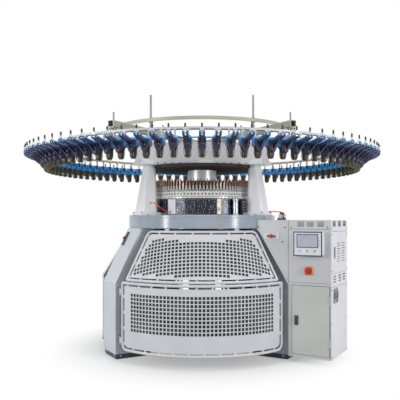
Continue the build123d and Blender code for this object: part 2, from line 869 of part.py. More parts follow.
def make_cabinet():
    """The sheet cabinet on its brackets on the right leg, with its shelf, door and fan openings."""
    front_t = -cover_half_width
    wall = cabinet_wall
    cabinet = block(
        (cover_outer_u, cabinet_outer_u),
        (front_t, cabinet_back_t),
        (cabinet_bottom_z, cover_top_z),
    )
    for low, high in (
        (cabinet_bottom_z + wall, cabinet_shelf_z),
        (cabinet_shelf_z + wall, cover_top_z - wall),
    ):
        cabinet -= block(
            (cover_outer_u + wall, cabinet_outer_u - wall),
            (front_t + wall, cabinet_back_t - wall),
            (low, high),
        )
    cabinet -= block(
        (door_inner_u - door_gap, door_outer_u + door_hinge_gap),
        (front_t - 1, front_t + wall + 1),
        (door_bottom_z - door_gap, door_top_z + door_gap),
    )
    for z in door_hinge_heights:
        for low in (
            z + door_barrel_height / 2 + running_gap,
            z - door_barrel_height / 2 - running_gap - hinge_lug_height,
        ):
            cabinet += block(
                (door_axis_u - door_lug_reach, cabinet_outer_u - wall),
                (front_t - door_axis_out - door_lug_depth, front_t),
                (low, low + hinge_lug_height),
            )
    half = fan_opening / 2
    cabinet -= block(
        (cabinet_outer_u - wall - 1, cabinet_outer_u + 1),
        (fan_t - half, fan_t + half),
        (fan_z - half, fan_z + half),
    )
    cabinet += [
        block(
            (leg_outer_u, cover_outer_u),
            (-cabinet_bracket_width / 2, cabinet_bracket_width / 2),
            (low, low + cabinet_bracket_height),
        )
        for low in cabinet_bracket_heights
    ]
    nodes["control_cabinet"] = around(cabinet, leg_stations["right"])


def make_door():
    """The lower door with hinge barrels and latch plate, and the paddle that pulls it open."""
    station = leg_stations["right"]
    front_t = -cover_half_width
    door = block(
        (door_inner_u, door_outer_u),
        (front_t, front_t + door_thickness),
        (door_bottom_z, door_top_z),
    )
    for z in door_hinge_heights:
        half = door_barrel_height / 2
        barrel = prism(door_barrel_radius, knuckle_sides, z - half, z + half)
        door += Pos(front_t - door_axis_out, -door_axis_u, 0) * barrel
    latch = front_plane(handle_u, front_t, handle_z)
    door += latch * slab(handle_width, handle_height, 0, latch_plate_thickness)
    nodes["cabinet_door"] = around(door, station)
    low = latch_plate_thickness + running_gap
    paddle = slab(paddle_width, paddle_height, low, low + paddle_thickness)
    nodes["door_paddle"] = around(latch * paddle, station)


def make_electrics():
    """The plate on the cabinet's back wall with the drive inverter and a row of contactors."""
    station = leg_stations["right"]
    back_t = cabinet_back_t - cabinet_wall
    face_t = back_t - mounting_plate_thickness
    low_u, high_u = door_inner_u, door_outer_u - mounting_margin
    low_z, high_z = door_bottom_z + mounting_margin, door_top_z - mounting_margin
    plate = block((low_u, high_u), (face_t, back_t), (low_z, high_z))
    middle_u = (low_u + high_u) / 2
    top = high_z - mounting_margin
    plate += block(
        (middle_u - inverter_size[0] / 2, middle_u + inverter_size[0] / 2),
        (face_t - inverter_size[1], face_t),
        (top - inverter_size[2], top),
    )
    for index in range(contactor_count):
        start = middle_u + (index - contactor_count / 2) * contactor_pitch
        plate += block(
            (start, start + contactor_size[0]),
            (face_t - contactor_size[1], face_t),
            (low_z + mounting_margin, low_z + mounting_margin + contactor_size[2]),
        )
    nodes["electrics_plate"] = around(plate, station)


def make_fan():
    """A box fan behind the opening in the cabinet's outer wall, its rotor on a bridge."""
    station = leg_stations["right"]
    plane = Plane(
        origin=(fan_t, cabinet_wall - cabinet_outer_u, fan_z), x_dir=(1, 0, 0), z_dir=(0, -1, 0)
    )
    half = fan_opening / 2
    frame = slab(fan_size, fan_size, -fan_depth, 0)
    bridge_top = fan_bridge_thickness - fan_depth
    frame -= slab(2 * half, 2 * half, -fan_depth - 1, 1)
    frame += slab(2 * half, fan_bridge_width, -fan_depth, bridge_top)
    nodes["fan_frame"] = around(plane * frame, station)
    low, high = bridge_top + running_gap, -fan_front_gap
    rotor = Pos(0, 0, low) * extrude(RegularPolygon(fan_hub_radius, fan_hub_sides), amount=high - low)
    for index in range(fan_blades):
        blade = slab(fan_tip_radius, fan_blade_thickness, low, high, fan_tip_radius / 2)
        rotor += Rot(0, 0, index * 360 / fan_blades) * blade
    nodes["fan_rotor"] = around(plane * rotor, station)


def make_front_controls():
    """The display box, and the main switch on its plate."""
    station = leg_stations["right"]
    front_t = -cover_half_width
    plane = front_plane(
        (display_inner_u + display_outer_u) / 2,
        front_t,
        (display_bottom_z + display_top_z) / 2,
    )
    box = slab(
        display_outer_u - display_inner_u, display_top_z - display_bottom_z, 0, display_depth
    )
    box = chamfer(box.edges().filter_by(Axis.Z), display_corner)
    nodes["display_unit"] = around(plane * box, station)

    plane = front_plane(switch_u, front_t, switch_z)
    plate = slab(switch_plate_size, switch_plate_size, 0, switch_plate_thickness)
    nodes["switch_plate"] = around(plane * plate, station)
    low = switch_plate_thickness + running_gap
    knob = Pos(0, 0, low) * extrude(RegularPolygon(knob_radius, knob_sides), amount=knob_depth / 2)
    knob += slab(knob_grip_width, 2 * knob_radius - knob_grip_width, low, low + knob_depth)
    nodes["main_switch"] = around(plane * knob, station)


def make_buttons(plane, station, names):
    """A row of push buttons in the pockets of one plate, on a plane with x along the row."""
    length = len(names) * button_pitch + 2 * button_plate_margin
    plate = slab(length, button_plate_height, 0, button_plate_thickness)
    pocket_bottom = button_plate_thickness - button_pocket_depth
    button_bottom = pocket_bottom + button_travel + running_gap
    for index, name in enumerate(names):
        x = (index - (len(names) - 1) / 2) * button_pitch
        pocket = RegularPolygon(button_radius + running_gap, button_sides)
        plate -= Pos(x, 0, pocket_bottom) * extrude(pocket, amount=button_pocket_depth + 1)
        button = extrude(RegularPolygon(button_radius, button_sides), amount=button_length)
        nodes[name] = around(plane * (Pos(x, 0, button_bottom) * button), station)
    return around(plane * plate, station)


def make_button_rows():
    right = front_plane(right_button_u, -cover_half_width, right_button_z)
    panels = [make_buttons(right, leg_stations["right"], right_buttons)]
    rise = bed_bottom_z - leg_knee_z
    run = leg_outer_u - leg_top_u
    left = Plane(
        origin=(left_button_t, -leg_slope_u(left_button_z), left_button_z),
        x_dir=(0, run, rise),
        z_dir=(0, -rise, run),
    )
    panels.append(make_buttons(left, leg_stations["left"], left_buttons))
    nodes["button_panels"] = Compound(panels)


def make_hose(points, station):
    """A hose of straight runs and tangent arcs through (u, t, z) points."""
    route = [Vector(t, -u, z) for u, t, z in points]
    radii = []
    for before, here, after in zip(route, route[1:], route[2:]):
        first, second = here - before, after - here
        turn = radians(first.get_angle(second))
        shorter = min(first.length, second.length)
        radii.append(0.45 * shorter / tan(turn / 2))
    path = FilletPolyline(*route, radius=radii)
    section = Plane(origin=path @ 0, z_dir=path % 0) * RegularPolygon(hose_diameter / 2, hose_face_count)
    tube = sweep(section, path)
    share = tube.volume / (section.area * path.length)
    print("hose length", round(path.length, 1), "volume share", round(share, 4))
    print("hose radii", [round(radius, 1) for radius in radii])
    return around(tube, station)


def make_air_lines():
    """The air regulator on the cover, and two hoses with the fittings that they leave from."""
    regulator = block(regulator_u, regulator_t, (cover_top_z, cover_top_z + regulator_base_height))
    bowl = extrude(RegularPolygon(regulator_bowl_radius, 12), amount=regulator_bowl_height)
    middle = (sum(regulator_t) / 2, -sum(regulator_u) / 2, cover_top_z + regulator_base_height)
    regulator += Pos(*middle) * bowl
    nodes["air_regulator"] = around(regulator, leg_stations["right"])
    nodes["right_air_hose"] = make_hose(right_hose_points, leg_stations["right"])
    nodes["left_air_hose"] = make_hose(left_hose_points, leg_stations["left"])
    half = hose_fitting_size / 2
    right_start, left_start = right_hose_points[0], left_hose_points[0]
    fittings = [
        around(
            block(
                (right_start[0] - hose_fitting_size, right_start[0]),
                (right_start[1] - half, right_start[1] + half),
                (bed_top_z + column_foot_height, right_start[2] + half),
            ),
            leg_stations["right"],
        ),
        around(
            block(
                (left_start[0] - half, left_start[0] + half),
                (left_fitting_t, left_start[1]),
                (left_start[2] - half, left_start[2] + half),
            ),
            leg_stations["left"],
        ),
    ]
    cam_face_u = cam_radius * cos(radians(180 / cam_face_count))
    end_u, end_t, end_z = left_hose_points[-1]
    cam_fitting = block(
        (cam_face_u, hypot(end_u, end_t)), (-half, half), (end_z - half, end_z + half)
    )
    fittings.append(around(cam_fitting, cam_fitting_station))
    nodes["hose_fittings"] = Compound(fittings)


def build():
    make_legs()
    make_bed()
    make_columns()
    make_housing()
    make_head()
    make_take_down()
    make_drive()
    make_arms()
    make_feeders()
    make_gates()
    make_cover()
    make_cabinet()
    make_door()
    make_electrics()
    make_fan()
    make_front_controls()
    make_button_rows()
    make_air_lines()
    os.makedirs("parts", exist_ok=True)
    for name, shape in nodes.items():
        shape.label = name
        export_step(shape, f"parts/{name}.step")


build()
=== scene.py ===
import math

import bmesh
import bpy
from mathutils import Matrix, Vector


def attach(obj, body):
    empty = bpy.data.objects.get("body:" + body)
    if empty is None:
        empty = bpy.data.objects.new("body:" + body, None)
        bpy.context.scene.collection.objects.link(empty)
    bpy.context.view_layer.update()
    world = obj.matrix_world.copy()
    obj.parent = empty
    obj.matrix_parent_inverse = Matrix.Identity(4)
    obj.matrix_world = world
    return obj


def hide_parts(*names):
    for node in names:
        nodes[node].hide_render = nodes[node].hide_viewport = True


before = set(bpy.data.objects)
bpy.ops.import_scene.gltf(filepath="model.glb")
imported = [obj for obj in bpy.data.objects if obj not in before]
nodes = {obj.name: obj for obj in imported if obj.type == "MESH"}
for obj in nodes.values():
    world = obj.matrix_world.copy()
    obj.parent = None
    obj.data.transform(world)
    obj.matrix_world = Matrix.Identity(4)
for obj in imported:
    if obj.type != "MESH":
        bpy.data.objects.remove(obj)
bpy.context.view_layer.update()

mm = 0.001
softEdge, crispEdge = math.radians(35), math.radians(30)  # sharper than this isn't shaded round
rightLeg, leftLeg, rearLeg = 60, -60, 180
legStations = (rightLeg, rearLeg, leftLeg)


def at(u, t, z, station=0.0):
    turn = math.radians(station)
    x = t * math.cos(turn) + u * math.sin(turn)
    y = t * math.sin(turn) - u * math.cos(turn)
    return Vector((x, y, z)) * mm


def toward(u, t, z, station=0.0):
    return at(u, t, z, station).normalized()


def facingOut(u, t, z, station=0.0):
    return at(u, t, z, station), toward(1, 0, 0, station)


def facingUp(u, t, z, station=0.0):
    return at(u, t, z, station), Vector((0, 0, 1))


# Nodes and materials

def linear(hexText):
    values = [int(hexText[i:i + 2], 16) / 255 for i in (1, 3, 5)]
    return [v / 12.92 if v < 0.04045 else ((v + 0.055) / 1.055) ** 2.4 for v in values] + [1.0]


def addNode(tree, kind, inputs=(), **settings):
    # inputs: a list in socket order, or a dict by name; each is a value, a socket or another node
    node = tree.nodes.new(kind)
    for key, value in settings.items():
        setattr(node, key, value)
    pairs = inputs.items() if isinstance(inputs, dict) else enumerate(inputs)
    for key, value in pairs:
        if value is None:
            continue
        if isinstance(value, bpy.types.Node):
            value = value.outputs[0]
        if isinstance(value, bpy.types.NodeSocket):
            tree.links.new(value, node.inputs[key])
        else:
            node.inputs[key].default_value = value
    return node


def finish(name, color, shade, patch, grain, depth, roughness, spread=0.08, stretch=(1, 1, 1), **sockets):
    # color drifts to shade over patches of that size; grain is the surface texture's size and
    # depth its height, all in mm; stretch squeezes the grain along an axis, as brushing does
    material = bpy.data.materials.new(name)
    material.use_nodes = True
    tree = material.node_tree
    tree.nodes.clear()
    place = addNode(tree, "ShaderNodeTexCoord").outputs["Object"]
    patches = addNode(tree, "ShaderNodeTexNoise", {"Vector": place, "Scale": 1000 / patch, "Detail": 3.0})
    soft = addNode(tree, "ShaderNodeMapRange", [patches, 0.35, 0.65, 0.0, 1.0])
    tint = addNode(
        tree, "ShaderNodeMix", {0: soft, 6: linear(color), 7: linear(shade)}, data_type="RGBA"
    )
    squeezed = addNode(tree, "ShaderNodeMapping", {"Vector": place, "Scale": stretch})
    fine = addNode(tree, "ShaderNodeTexNoise", {"Vector": squeezed, "Scale": 1000 / grain, "Detail": 2.0})
    gloss = addNode(
        tree, "ShaderNodeMapRange", [fine, 0.3, 0.7, roughness - spread, roughness + spread]
    )
    bump = addNode(tree, "ShaderNodeBump", {"Height": fine, "Distance": depth * mm, "Strength": 1.0})
    shader = addNode(
        tree, "ShaderNodeBsdfPrincipled",
        {"Base Color": tint.outputs[2], "Roughness": gloss, "Normal": bump, **sockets},
    )
    addNode(tree, "ShaderNodeOutputMaterial", {"Surface": shader})
    return material


# Powder coat on sheet steel: pale, even, a slight orange peel that softens its highlights
legCoat = finish("powderCoatLegs", "#CFD4DC", "#C8CDD6", 260, 3.0, 0.05, 0.40)
gateCoat = finish("powderCoatGates", "#DADCE0", "#D2D5DA", 200, 3.0, 0.05, 0.42)
# the columns' coat is paler than their paint: painted light that offsets the feeders' shade on them
columnCoatLightened = finish("powderCoatColumnsLightened", "#EAEBEE", "#E3E4E8", 240, 3.0, 0.05, 0.40)
cabinetCoat = finish("powderCoatCabinet", "#D0D2D4", "#C9CBCE", 300, 2.5, 0.04, 0.42)
# the side's coat is a paler copy of the cabinet's: painted light on the cabinet's lit side
cabinetLitSideCoat = finish("powderCoatCabinetLitSide", "#E1E3E8", "#DADCE2", 300, 2.5, 0.04, 0.42)
doorCoat = finish("powderCoatDoor", "#CBCDC9", "#C4C6C3", 260, 2.5, 0.04, 0.42)
ringCoat = finish("powderCoatRing", "#E3E0D6", "#DAD6CA", 200, 3.0, 0.04, 0.40)
upperCoat = finish("powderCoatUpperRing", "#C4BDA6", "#AEB4A6", 400, 3.0, 0.04, 0.45)
# Enamel on cast iron: the sand casting's soft unevenness shows through the paint
bedEnamel = finish("castIronEnamelBed", "#A4AEBA", "#99A3B0", 150, 9.0, 0.06, 0.17, 0.05)
housingEnamel = finish("castIronEnamelHousing", "#DCDCE0", "#D2D3D8", 220, 9.0, 0.2, 0.38)
# the disc under the top housing: dark and with its reflection turned down, painted shade under the
# housing
discEnamelShaded = finish(
    "castIronEnamelDiscShaded", "#4A4543", "#3E3A39", 120, 8.0, 0.2, 0.85, **{"Specular IOR Level": 0.1}
)
footEnamel = finish("castIronEnamelFeet", "#4A5260", "#3E4552", 60, 7.0, 0.3, 0.55)
# the frames' enamel is dark grey, made darker as painted shade for the parts inside the gates and under
# the cover
frameEnamelDarkenedForShade = finish("castIronEnamelFrameDarkenedForShade", "#5C636C", "#50565F", 120, 8.0, 0.2, 0.5)
# Enamel on die-cast aluminium: blue grey, with a finer and shallower unevenness than cast iron
motorEnamel = finish("castAluminiumEnamel", "#6F7F8E", "#627181", 60, 4.0, 0.15, 0.45)
# Black oxide on steel blocks and screws: almost black, oily sheen, lighter in random patches
# on the cam blocks the lighter blue grey patches are also painted reflection
camOxidePaintedSheen = finish("blackOxideSteel", "#22242B", "#3A3D47", 45, 1.5, 0.03, 0.24, 0.08, Metallic=0.65)
darkSteel = finish("blackenedScrewSteel", "#2C2E33", "#3B3E44", 20, 1.0, 0.02, 0.34, 0.08, Metallic=0.8)
# Turned and ground steel: fine rings round the axis, mirror-like between them
turnedSteel = finish(
    "turnedSteel", "#C3C6CA", "#AEB2B8", 90, 2.0, 0.02, 0.24, 0.1, (1, 1, 14), Metallic=1.0
)
shaftSteel = finish(
    "groundShaftSteel", "#A9ADB3", "#979BA2", 70, 2.0, 0.02, 0.28, 0.1, (9, 9, 1), Metallic=1.0
)
# Satin chrome: a blasted surface under the plating blurs the room to one soft sheen
hubChrome = finish("satinChrome", "#D6D7DA", "#CDCFD2", 180, 5.0, 0.001, 0.40, 0.01, Metallic=1.0)
# Zinc plate and bare milled iron: small parts, dull and cloudy, with the cutter's grain
zincSteel = finish("zincPlatedSteel", "#B9BDC2", "#9DA2A9", 30, 1.2, 0.02, 0.32, 0.1, Metallic=1.0)
gearIron = finish("millCutGearIron", "#6E7278", "#5C6067", 60, 2.5, 0.05, 0.42, 0.1, Metallic=0.9)
# Drawn steel rod under a film of oil: mid grey, faint lines along its length
rodSteel = finish(
    "drawnRodSteel", "#959C97", "#858C86", 300, 2.0, 0.004, 0.4, 0.04, (1, 1, 0.1), Metallic=0.3
)
# Bronze and brass, rubbed by yarn: warm brown in the hollows, pale along the ridges
ridgeBronze = finish("rubbedCastBronze", "#B9A08F", "#7E6252", 14, 2.0, 0.08, 0.34, 0.1, Metallic=0.75)
eyeletBronze = finish("bronzeRing", "#51433C", "#3A302C", 40, 3.0, 0.05, 0.5, 0.1, Metallic=0.4)
paleBronze = finish("sheetBronze", "#C3B4A6", "#94867B", 25, 1.5, 0.02, 0.32, 0.08, Metallic=0.8)
basketBrass = finish("tarnishedBrassWire", "#857749", "#3E3A2C", 9, 1.0, 0.02, 0.4, 0.08, Metallic=0.7)
fittingBrass = finish("turnedBrass", "#C5A259", "#AB8843", 12, 1.0, 0.02, 0.28, 0.08, Metallic=1.0)
# Aluminium under an anodised film: satin tube, and a ring so pale that it looks like white paint
armAlloy = finish("anodisedArmTube", "#B4B2A6", "#A29F92", 160, 2.5, 0.02, 0.40, 0.08, Metallic=0.25)
ringWhite = finish("anodisedRingAlloy", "#F0EEEA", "#DAD7D2", 30, 2.0, 0.02, 0.3, 0.08)
# Glazed alumina: dense white ceramic with a wet gloss, as in all yarn eyes
eyeCeramic = finish("glazedAlumina", "#F1EFEA", "#E6E3DB", 15, 1.0, 0.01, 0.12, 0.04, IOR=1.6)
# Moulded glass-filled nylon: dark or teal, a fine mould texture that breaks the shine
feederNylon = finish("mouldedNylonNavy", "#23263F", "#2C3052", 18, 1.2, 0.05, 0.38)
forkNylon = finish("mouldedNylonFork", "#2A2F55", "#343A68", 14, 1.2, 0.05, 0.36)
blackNylon = finish("mouldedNylonBlack", "#1D1E22", "#26282E", 12, 1.0, 0.05, 0.36)
connectorTeal = finish("mouldedNylonTeal", "#2C8C78", "#247A68", 20, 1.5, 0.02, 0.34)
# Moulded ABS: saturated, smooth, clean highlights
coverBlue = finish("mouldedAbsBlue", "#3BB0F2", "#1C86D6", 20, 1.5, 0.02, 0.26)
displayAbs = finish("mouldedAbsDisplay", "#E9EAEC", "#E0E2E6", 80, 1.2, 0.04, 0.36)
displayRim = finish("mouldedAbsRim", "#3B4365", "#343C5C", 60, 1.2, 0.03, 0.34)
switchYellow = finish("mouldedAbsYellow", "#F3A02B", "#EA9422", 40, 1.2, 0.03, 0.34)
knobRed = finish("mouldedAbsRed", "#D40F12", "#C00C10", 25, 1.2, 0.03, 0.28)
buttonRed = finish("buttonAbsRed", "#C81A1E", "#B5161A", 10, 0.8, 0.02, 0.28)
buttonGreen = finish("buttonAbsGreen", "#2F7D4A", "#276E40", 10, 0.8, 0.02, 0.28)
buttonBlack = finish("buttonAbsBlack", "#232427", "#2B2C30", 10, 0.8, 0.02, 0.3)
stripWhite = finish("mouldedAbsStrip", "#ECECEA", "#E2E2E0", 40, 1.2, 0.03, 0.36)
# Moulded polyester and polycarbonate of the electric parts: matt, a little grained
fanBlack = finish("mouldedPbtBlack", "#1E1F22", "#292A2E", 25, 1.2, 0.04, 0.42)
electricGrey = finish("mouldedPolycarbonate", "#B8BCC0", "#A9ADB2", 40, 1.2, 0.04, 0.42)
# Rubber: near black or dark blue, soft broad sheen, faint ribs
beltRubber = finish("neopreneBelt", "#1F2022", "#2A2B2E", 30, 1.5, 0.08, 0.62)
rollerRubber = finish("nitrileRollerRubber", "#3A3C3F", "#46484B", 40, 1.5, 0.08, 0.58)
padRubber = finish("footPadRubber", "#26272A", "#323337", 30, 2.0, 0.1, 0.7)
ringEdge = finish("rubberEdgeStrip", "#2C4A7A", "#22395E", 50, 1.5, 0.04, 0.5)
# Extruded polyurethane: bright, even colour and a slightly waxy shine
feederBeltBlue = finish("polyurethaneBelt", "#1F8FD6", "#1A7FC4", 60, 1.5, 0.03, 0.40)
hoseRed = finish("polyurethaneHoseRed", "#E23A2E", "#CF2F25", 40, 1.5, 0.02, 0.30)
# Glass over a liquid crystal panel that is switched on: pale blue grey, glossy
panelGlass = finish("panelGlass", "#BDC3D0", "#B3BAC9", 60, 1.0, 0.005, 0.16, 0.04)
# Screen-printed ink: flat grey blue, a thin film on the moulding
iconInk = finish("screenPrintInk", "#5E6A8E", "#56628A", 20, 1.0, 0.01, 0.4)
# Unlit gap between panels and behind slats: black with no shine
shadowGap = finish("seamShadow", "#222326", "#1A1B1E", 30, 1.5, 0.02, 0.8)
# Dark sheet behind the perforated sheets: painted shade of the machine's inside seen through the holes,
# near black to grey in patches
paintedShadeCloth = finish("paintedShadeScreen", "#2F3032", "#56534F", 130, 2.0, 0.1, 0.85, 0.05)
print("materials ready")


# Mesh tools

def startMesh():
    return bmesh.new()


def addLoops(bm, loops, closed=False):
    # joins rings of as many points; the ends are capped unless the row of rings is closed
    rings = [[bm.verts.new(p) for p in loop] for loop in loops]
    pairs = list(zip(rings, rings[1:]))
    if closed:
        pairs.append((rings[-1], rings[0]))
    for a, b in pairs:
        for i in range(len(a)):
            bm.faces.new((a[i - 1], a[i], b[i], b[i - 1]))
    if not closed:
        bm.faces.new(rings[0][::-1])
        bm.faces.new(rings[-1])


def addBlock(bm, u, t, z, station=0.0):
    corners = ((u[0], t[0]), (u[0], t[1]), (u[1], t[1]), (u[1], t[0]))
    addLoops(bm, [[at(a, b, h, station) for a, b in corners] for h in z])


def addSide(bm, outline, t, station=0.0):
    # an outline of (u, z) points, run along the tangent
    addLoops(bm, [[at(u, side, z, station) for u, z in outline] for side in t])


def addPlan(bm, outline, z, station=0.0):
    # an outline of (u, t) points, run upwards
    addLoops(bm, [[at(u, t, height, station) for u, t in outline] for height in z])


def addTurned(bm, profile, origin=(0, 0, 0), axis=(0, 0, 1), count=96, closed=True):
    # turns (radius, height) points in mm round an axis; an open profile is capped at its ends
    axis = Vector(axis).normalized()
    side = axis.orthogonal().normalized()
    other = axis.cross(side)
    loops = []
    for radius, height in profile:
        ring = []
        for i in range(count):
            turn = 2 * math.pi * (i + 0.5) / count
            out = side * math.cos(turn) + other * math.sin(turn)
            ring.append(Vector(origin) + out * radius * mm + axis * height * mm)
        loops.append(ring)
    addLoops(bm, loops, closed)


def toMesh(name, bm):
    bmesh.ops.remove_doubles(bm, verts=bm.verts, dist=1e-6)
    bmesh.ops.recalc_face_normals(bm, faces=bm.faces)
    mesh = bpy.data.meshes.new(name)
    bm.to_mesh(mesh)
    bm.free()
    mesh.shade_smooth()
    mesh.set_sharp_from_angle(angle=softEdge)
    return mesh


def flatRing(radii, heights):
    # a square-cut section for addTurned
    (inner, outer), (low, high) = radii, heights
    return [(inner, low), (outer, low), (outer, high), (inner, high)]


def flatUnit(width, height, low, high):
    # a small plate about z = 0, for tabs and for the dark gaps of louvres
    bm = startMesh()
    w, h = width / 2, height / 2
    ring = ((-w, -h), (w, -h), (w, h), (-w, h))
    addLoops(bm, [[Vector((x, y, z)) * mm for x, y in ring] for z in (low, high)])
    return bm


def keep(name, mesh, material, body="frame", replaced=(), bevel=0.0, segments=2):
    mesh.materials.clear()
    mesh.materials.append(material)
    piece = bpy.data.objects.new(name, mesh)
    bpy.context.scene.collection.objects.link(piece)
    if bevel:
        edge = piece.modifiers.new("edge", "BEVEL")
        edge.width = bevel * mm
        edge.segments = segments
        edge.limit_method = "ANGLE"
        edge.angle_limit = crispEdge
        edge.harden_normals = True
    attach(piece, body)
    if replaced:
        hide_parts(*replaced)
    return piece


def piece(name, bm, material, slotName, body="frame", replaced=(), bevel=0.0):
    return keep(name, toMesh(name, bm), material, body, replaced, bevel)


def blockPiece(name, u, t, z, station, material, slotName, bevel=0.0):
    bm = startMesh()
    addBlock(bm, u, t, z, station)
    return piece(name, bm, material, slotName, bevel=bevel)


def turnedPiece(name, profile, count, material, slotName, body="frame", replaced=()):
    bm = startMesh()
    addTurned(bm, profile, count=count)
    return piece(name, bm, material, slotName, body, replaced)


def mergedSolid(nodeName, side=0):
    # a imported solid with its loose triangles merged, or only its part on one side of X = 0
    bm = bmesh.new()
    bm.from_mesh(nodes[nodeName].data)
    if side:
        bmesh.ops.delete(bm, geom=[v for v in bm.verts if v.co.x * side < 0], context="VERTS")
    bmesh.ops.remove_doubles(bm, verts=bm.verts, dist=2e-5)
    bmesh.ops.dissolve_limit(bm, angle_limit=math.radians(0.6), verts=bm.verts, edges=bm.edges)
    return bm


def bevelledCopy(name, nodeName, material, bevel, segments=2, body="frame"):
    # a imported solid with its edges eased
    bm = mergedSolid(nodeName)
    mesh = bpy.data.meshes.new(name)
    bm.to_mesh(mesh)
    bm.free()
    mesh.shade_smooth()
    mesh.set_sharp_from_angle(angle=crispEdge)
    return keep(name, mesh, material, body, (nodeName,), bevel, segments)


def recoat(nodeName, material):
    for place in nodes[nodeName].material_slots:
        place.material = material


# Geometry Nodes: a unit repeated round the axis, a unit on marked points, and a tube on a path

def newTree(name, sockets):
    tree = bpy.data.node_groups.new(name, "GeometryNodeTree")
    tree.interface.new_socket("Geometry", in_out="INPUT", socket_type="NodeSocketGeometry")
    for label, kind in sockets:
        tree.interface.new_socket(label, in_out="INPUT", socket_type="NodeSocket" + kind)
    tree.interface.new_socket("Geometry", in_out="OUTPUT", socket_type="NodeSocketGeometry")
    return tree, addNode(tree, "NodeGroupInput").outputs


def endTree(tree, geometry, material):
    real = addNode(tree, "GeometryNodeRealizeInstances", [geometry])
    done = addNode(tree, "GeometryNodeSetMaterial", {"Geometry": real, "Material": material})
    addNode(tree, "NodeGroupOutput", [done])
    return tree


def ringTree():
    tree, given = newTree("unitsRoundAxis", [
        ("Unit", "Object"), ("Count", "Int"), ("Pitch", "Float"), ("First", "Float"),
        ("Finish", "Material"),
    ])
    points = addNode(tree, "GeometryNodePoints", [given["Count"]])
    unit = addNode(tree, "GeometryNodeObjectInfo", [given["Unit"]]).outputs["Geometry"]
    index = addNode(tree, "GeometryNodeInputIndex")
    turn = addNode(
        tree, "ShaderNodeMath", [index, given["Pitch"], given["First"]], operation="MULTIPLY_ADD"
    )
    spin = addNode(tree, "ShaderNodeCombineXYZ", [0.0, 0.0, turn])
    placed = addNode(
        tree, "GeometryNodeInstanceOnPoints", {"Points": points, "Instance": unit, "Rotation": spin}
    )
    return endTree(tree, placed, given["Finish"])


def pointTree():
    tree, given = newTree("unitsOnPoints", [("Unit", "Object"), ("Finish", "Material")])
    points = addNode(tree, "GeometryNodeMeshToPoints", [given["Geometry"]])
    unit = addNode(tree, "GeometryNodeObjectInfo", [given["Unit"]]).outputs["Geometry"]
    turn = addNode(tree, "GeometryNodeInputNamedAttribute", ["turn"], data_type="FLOAT_VECTOR")
    placed = addNode(
        tree, "GeometryNodeInstanceOnPoints", {"Points": points, "Instance": unit, "Rotation": turn}
    )
    return endTree(tree, placed, given["Finish"])


def tubeTree():
    tree, given = newTree(
        "tubeOnPath", [("Radius", "Float"), ("Sides", "Int"), ("Finish", "Material")]
    )
    path = addNode(tree, "GeometryNodeMeshToCurve", [given["Geometry"]])
    section = addNode(tree, "GeometryNodeCurvePrimitiveCircle", {
        "Resolution": given["Sides"], "Radius": given["Radius"],
    })
    tube = addNode(
        tree, "GeometryNodeCurveToMesh", {"Curve": path, "Profile Curve": section, "Fill Caps": True}
    )
    return endTree(tree, tube, given["Finish"])


unitsRoundAxis, unitsOnPoints, tubeOnPath = ringTree(), pointTree(), tubeTree()


def grow(name, tree, values, carrier=None):
    # runs a tree on a carrier mesh and gives the result as a plain mesh
    carrier = carrier or bpy.data.meshes.new(name + "Carrier")
    holder = bpy.data.objects.new(name + "Carrier", carrier)
    bpy.context.scene.collection.objects.link(holder)
    modifier = holder.modifiers.new("grow", "NODES")
    modifier.node_group = tree
    for item in tree.interface.items_tree:
        if item.item_type == "SOCKET" and item.in_out == "INPUT" and item.name in values:
            modifier[item.identifier] = values[item.name]
    bpy.context.view_layer.update()
    seen = holder.evaluated_get(bpy.context.evaluated_depsgraph_get())
    mesh = bpy.data.meshes.new_from_object(seen)
    bpy.data.objects.remove(holder)
    for held in values.values():
        if isinstance(held, bpy.types.Object):
            bpy.data.objects.remove(held)
    mesh.name = name
    mesh.shade_smooth()
    mesh.set_sharp_from_angle(angle=softEdge)
    return mesh


def unitObject(name, bm, bevel=0.0):
    mesh = toMesh(name + "Unit", bm)
    if bevel:
        work = bmesh.new()
        work.from_mesh(mesh)
        edges = [e for e in work.edges if len(e.link_faces) == 2 and e.calc_face_angle(0) > 0.5]
        bmesh.ops.bevel(work, geom=edges, offset=bevel * mm, segments=1, affect="EDGES")
        work.to_mesh(mesh)
        work.free()
    unit = bpy.data.objects.new(name + "Unit", mesh)
    bpy.context.scene.collection.objects.link(unit)
    return unit


def repeatRound(name, bm, count, material, body="frame", replaced=(), first=0.0, bevel=0.0):
    mesh = grow(name, unitsRoundAxis, {
        "Unit": unitObject(name, bm, bevel), "Count": count, "Pitch": math.radians(360 / count),
        "First": math.radians(first), "Finish": material,
    })
    return keep(name, mesh, material, body, replaced)


def onPoints(name, bm, places, material, body="frame", replaced=(), bevel=0.0):
    # places: (point, facing) pairs; the unit stands on the origin, facing +Z with +Y as its top
    carrier = bpy.data.meshes.new(name + "Points")
    carrier.from_pydata([p for p, facing in places], [], [])
    turn = carrier.attributes.new("turn", "FLOAT_VECTOR", "POINT")
    for i, (p, facing) in enumerate(places):
        out = Vector(facing).normalized()
        up = Vector((0, 0, 1)) if abs(out.z) < 0.99 else Vector((0, 1, 0))
        side = up.cross(out).normalized()
        turn.data[i].vector = Matrix((side, out.cross(side), out)).transposed().to_euler()
    mesh = grow(
        name, unitsOnPoints, {"Unit": unitObject(name, bm, bevel), "Finish": material}, carrier
    )
    return keep(name, mesh, material, body, replaced)


def tubes(name, paths, radius, material, body="frame", replaced=(), sides=12):
    # paths: lists of points; a path whose last point is its first is closed
    carrier = bpy.data.meshes.new(name + "Path")
    points, edges = [], []
    for path in paths:
        start = len(points)
        ring = (Vector(path[0]) - Vector(path[-1])).length < 1e-6
        path = path[:-1] if ring else path
        points += path
        edges += [(start + i, start + i + 1) for i in range(len(path) - 1)]
        if ring:
            edges.append((start + len(path) - 1, start))
    carrier.from_pydata(points, edges, [])
    mesh = grow(name, tubeOnPath, {"Radius": radius * mm, "Sides": sides, "Finish": material}, carrier)
    return keep(name, mesh, material, body, replaced)


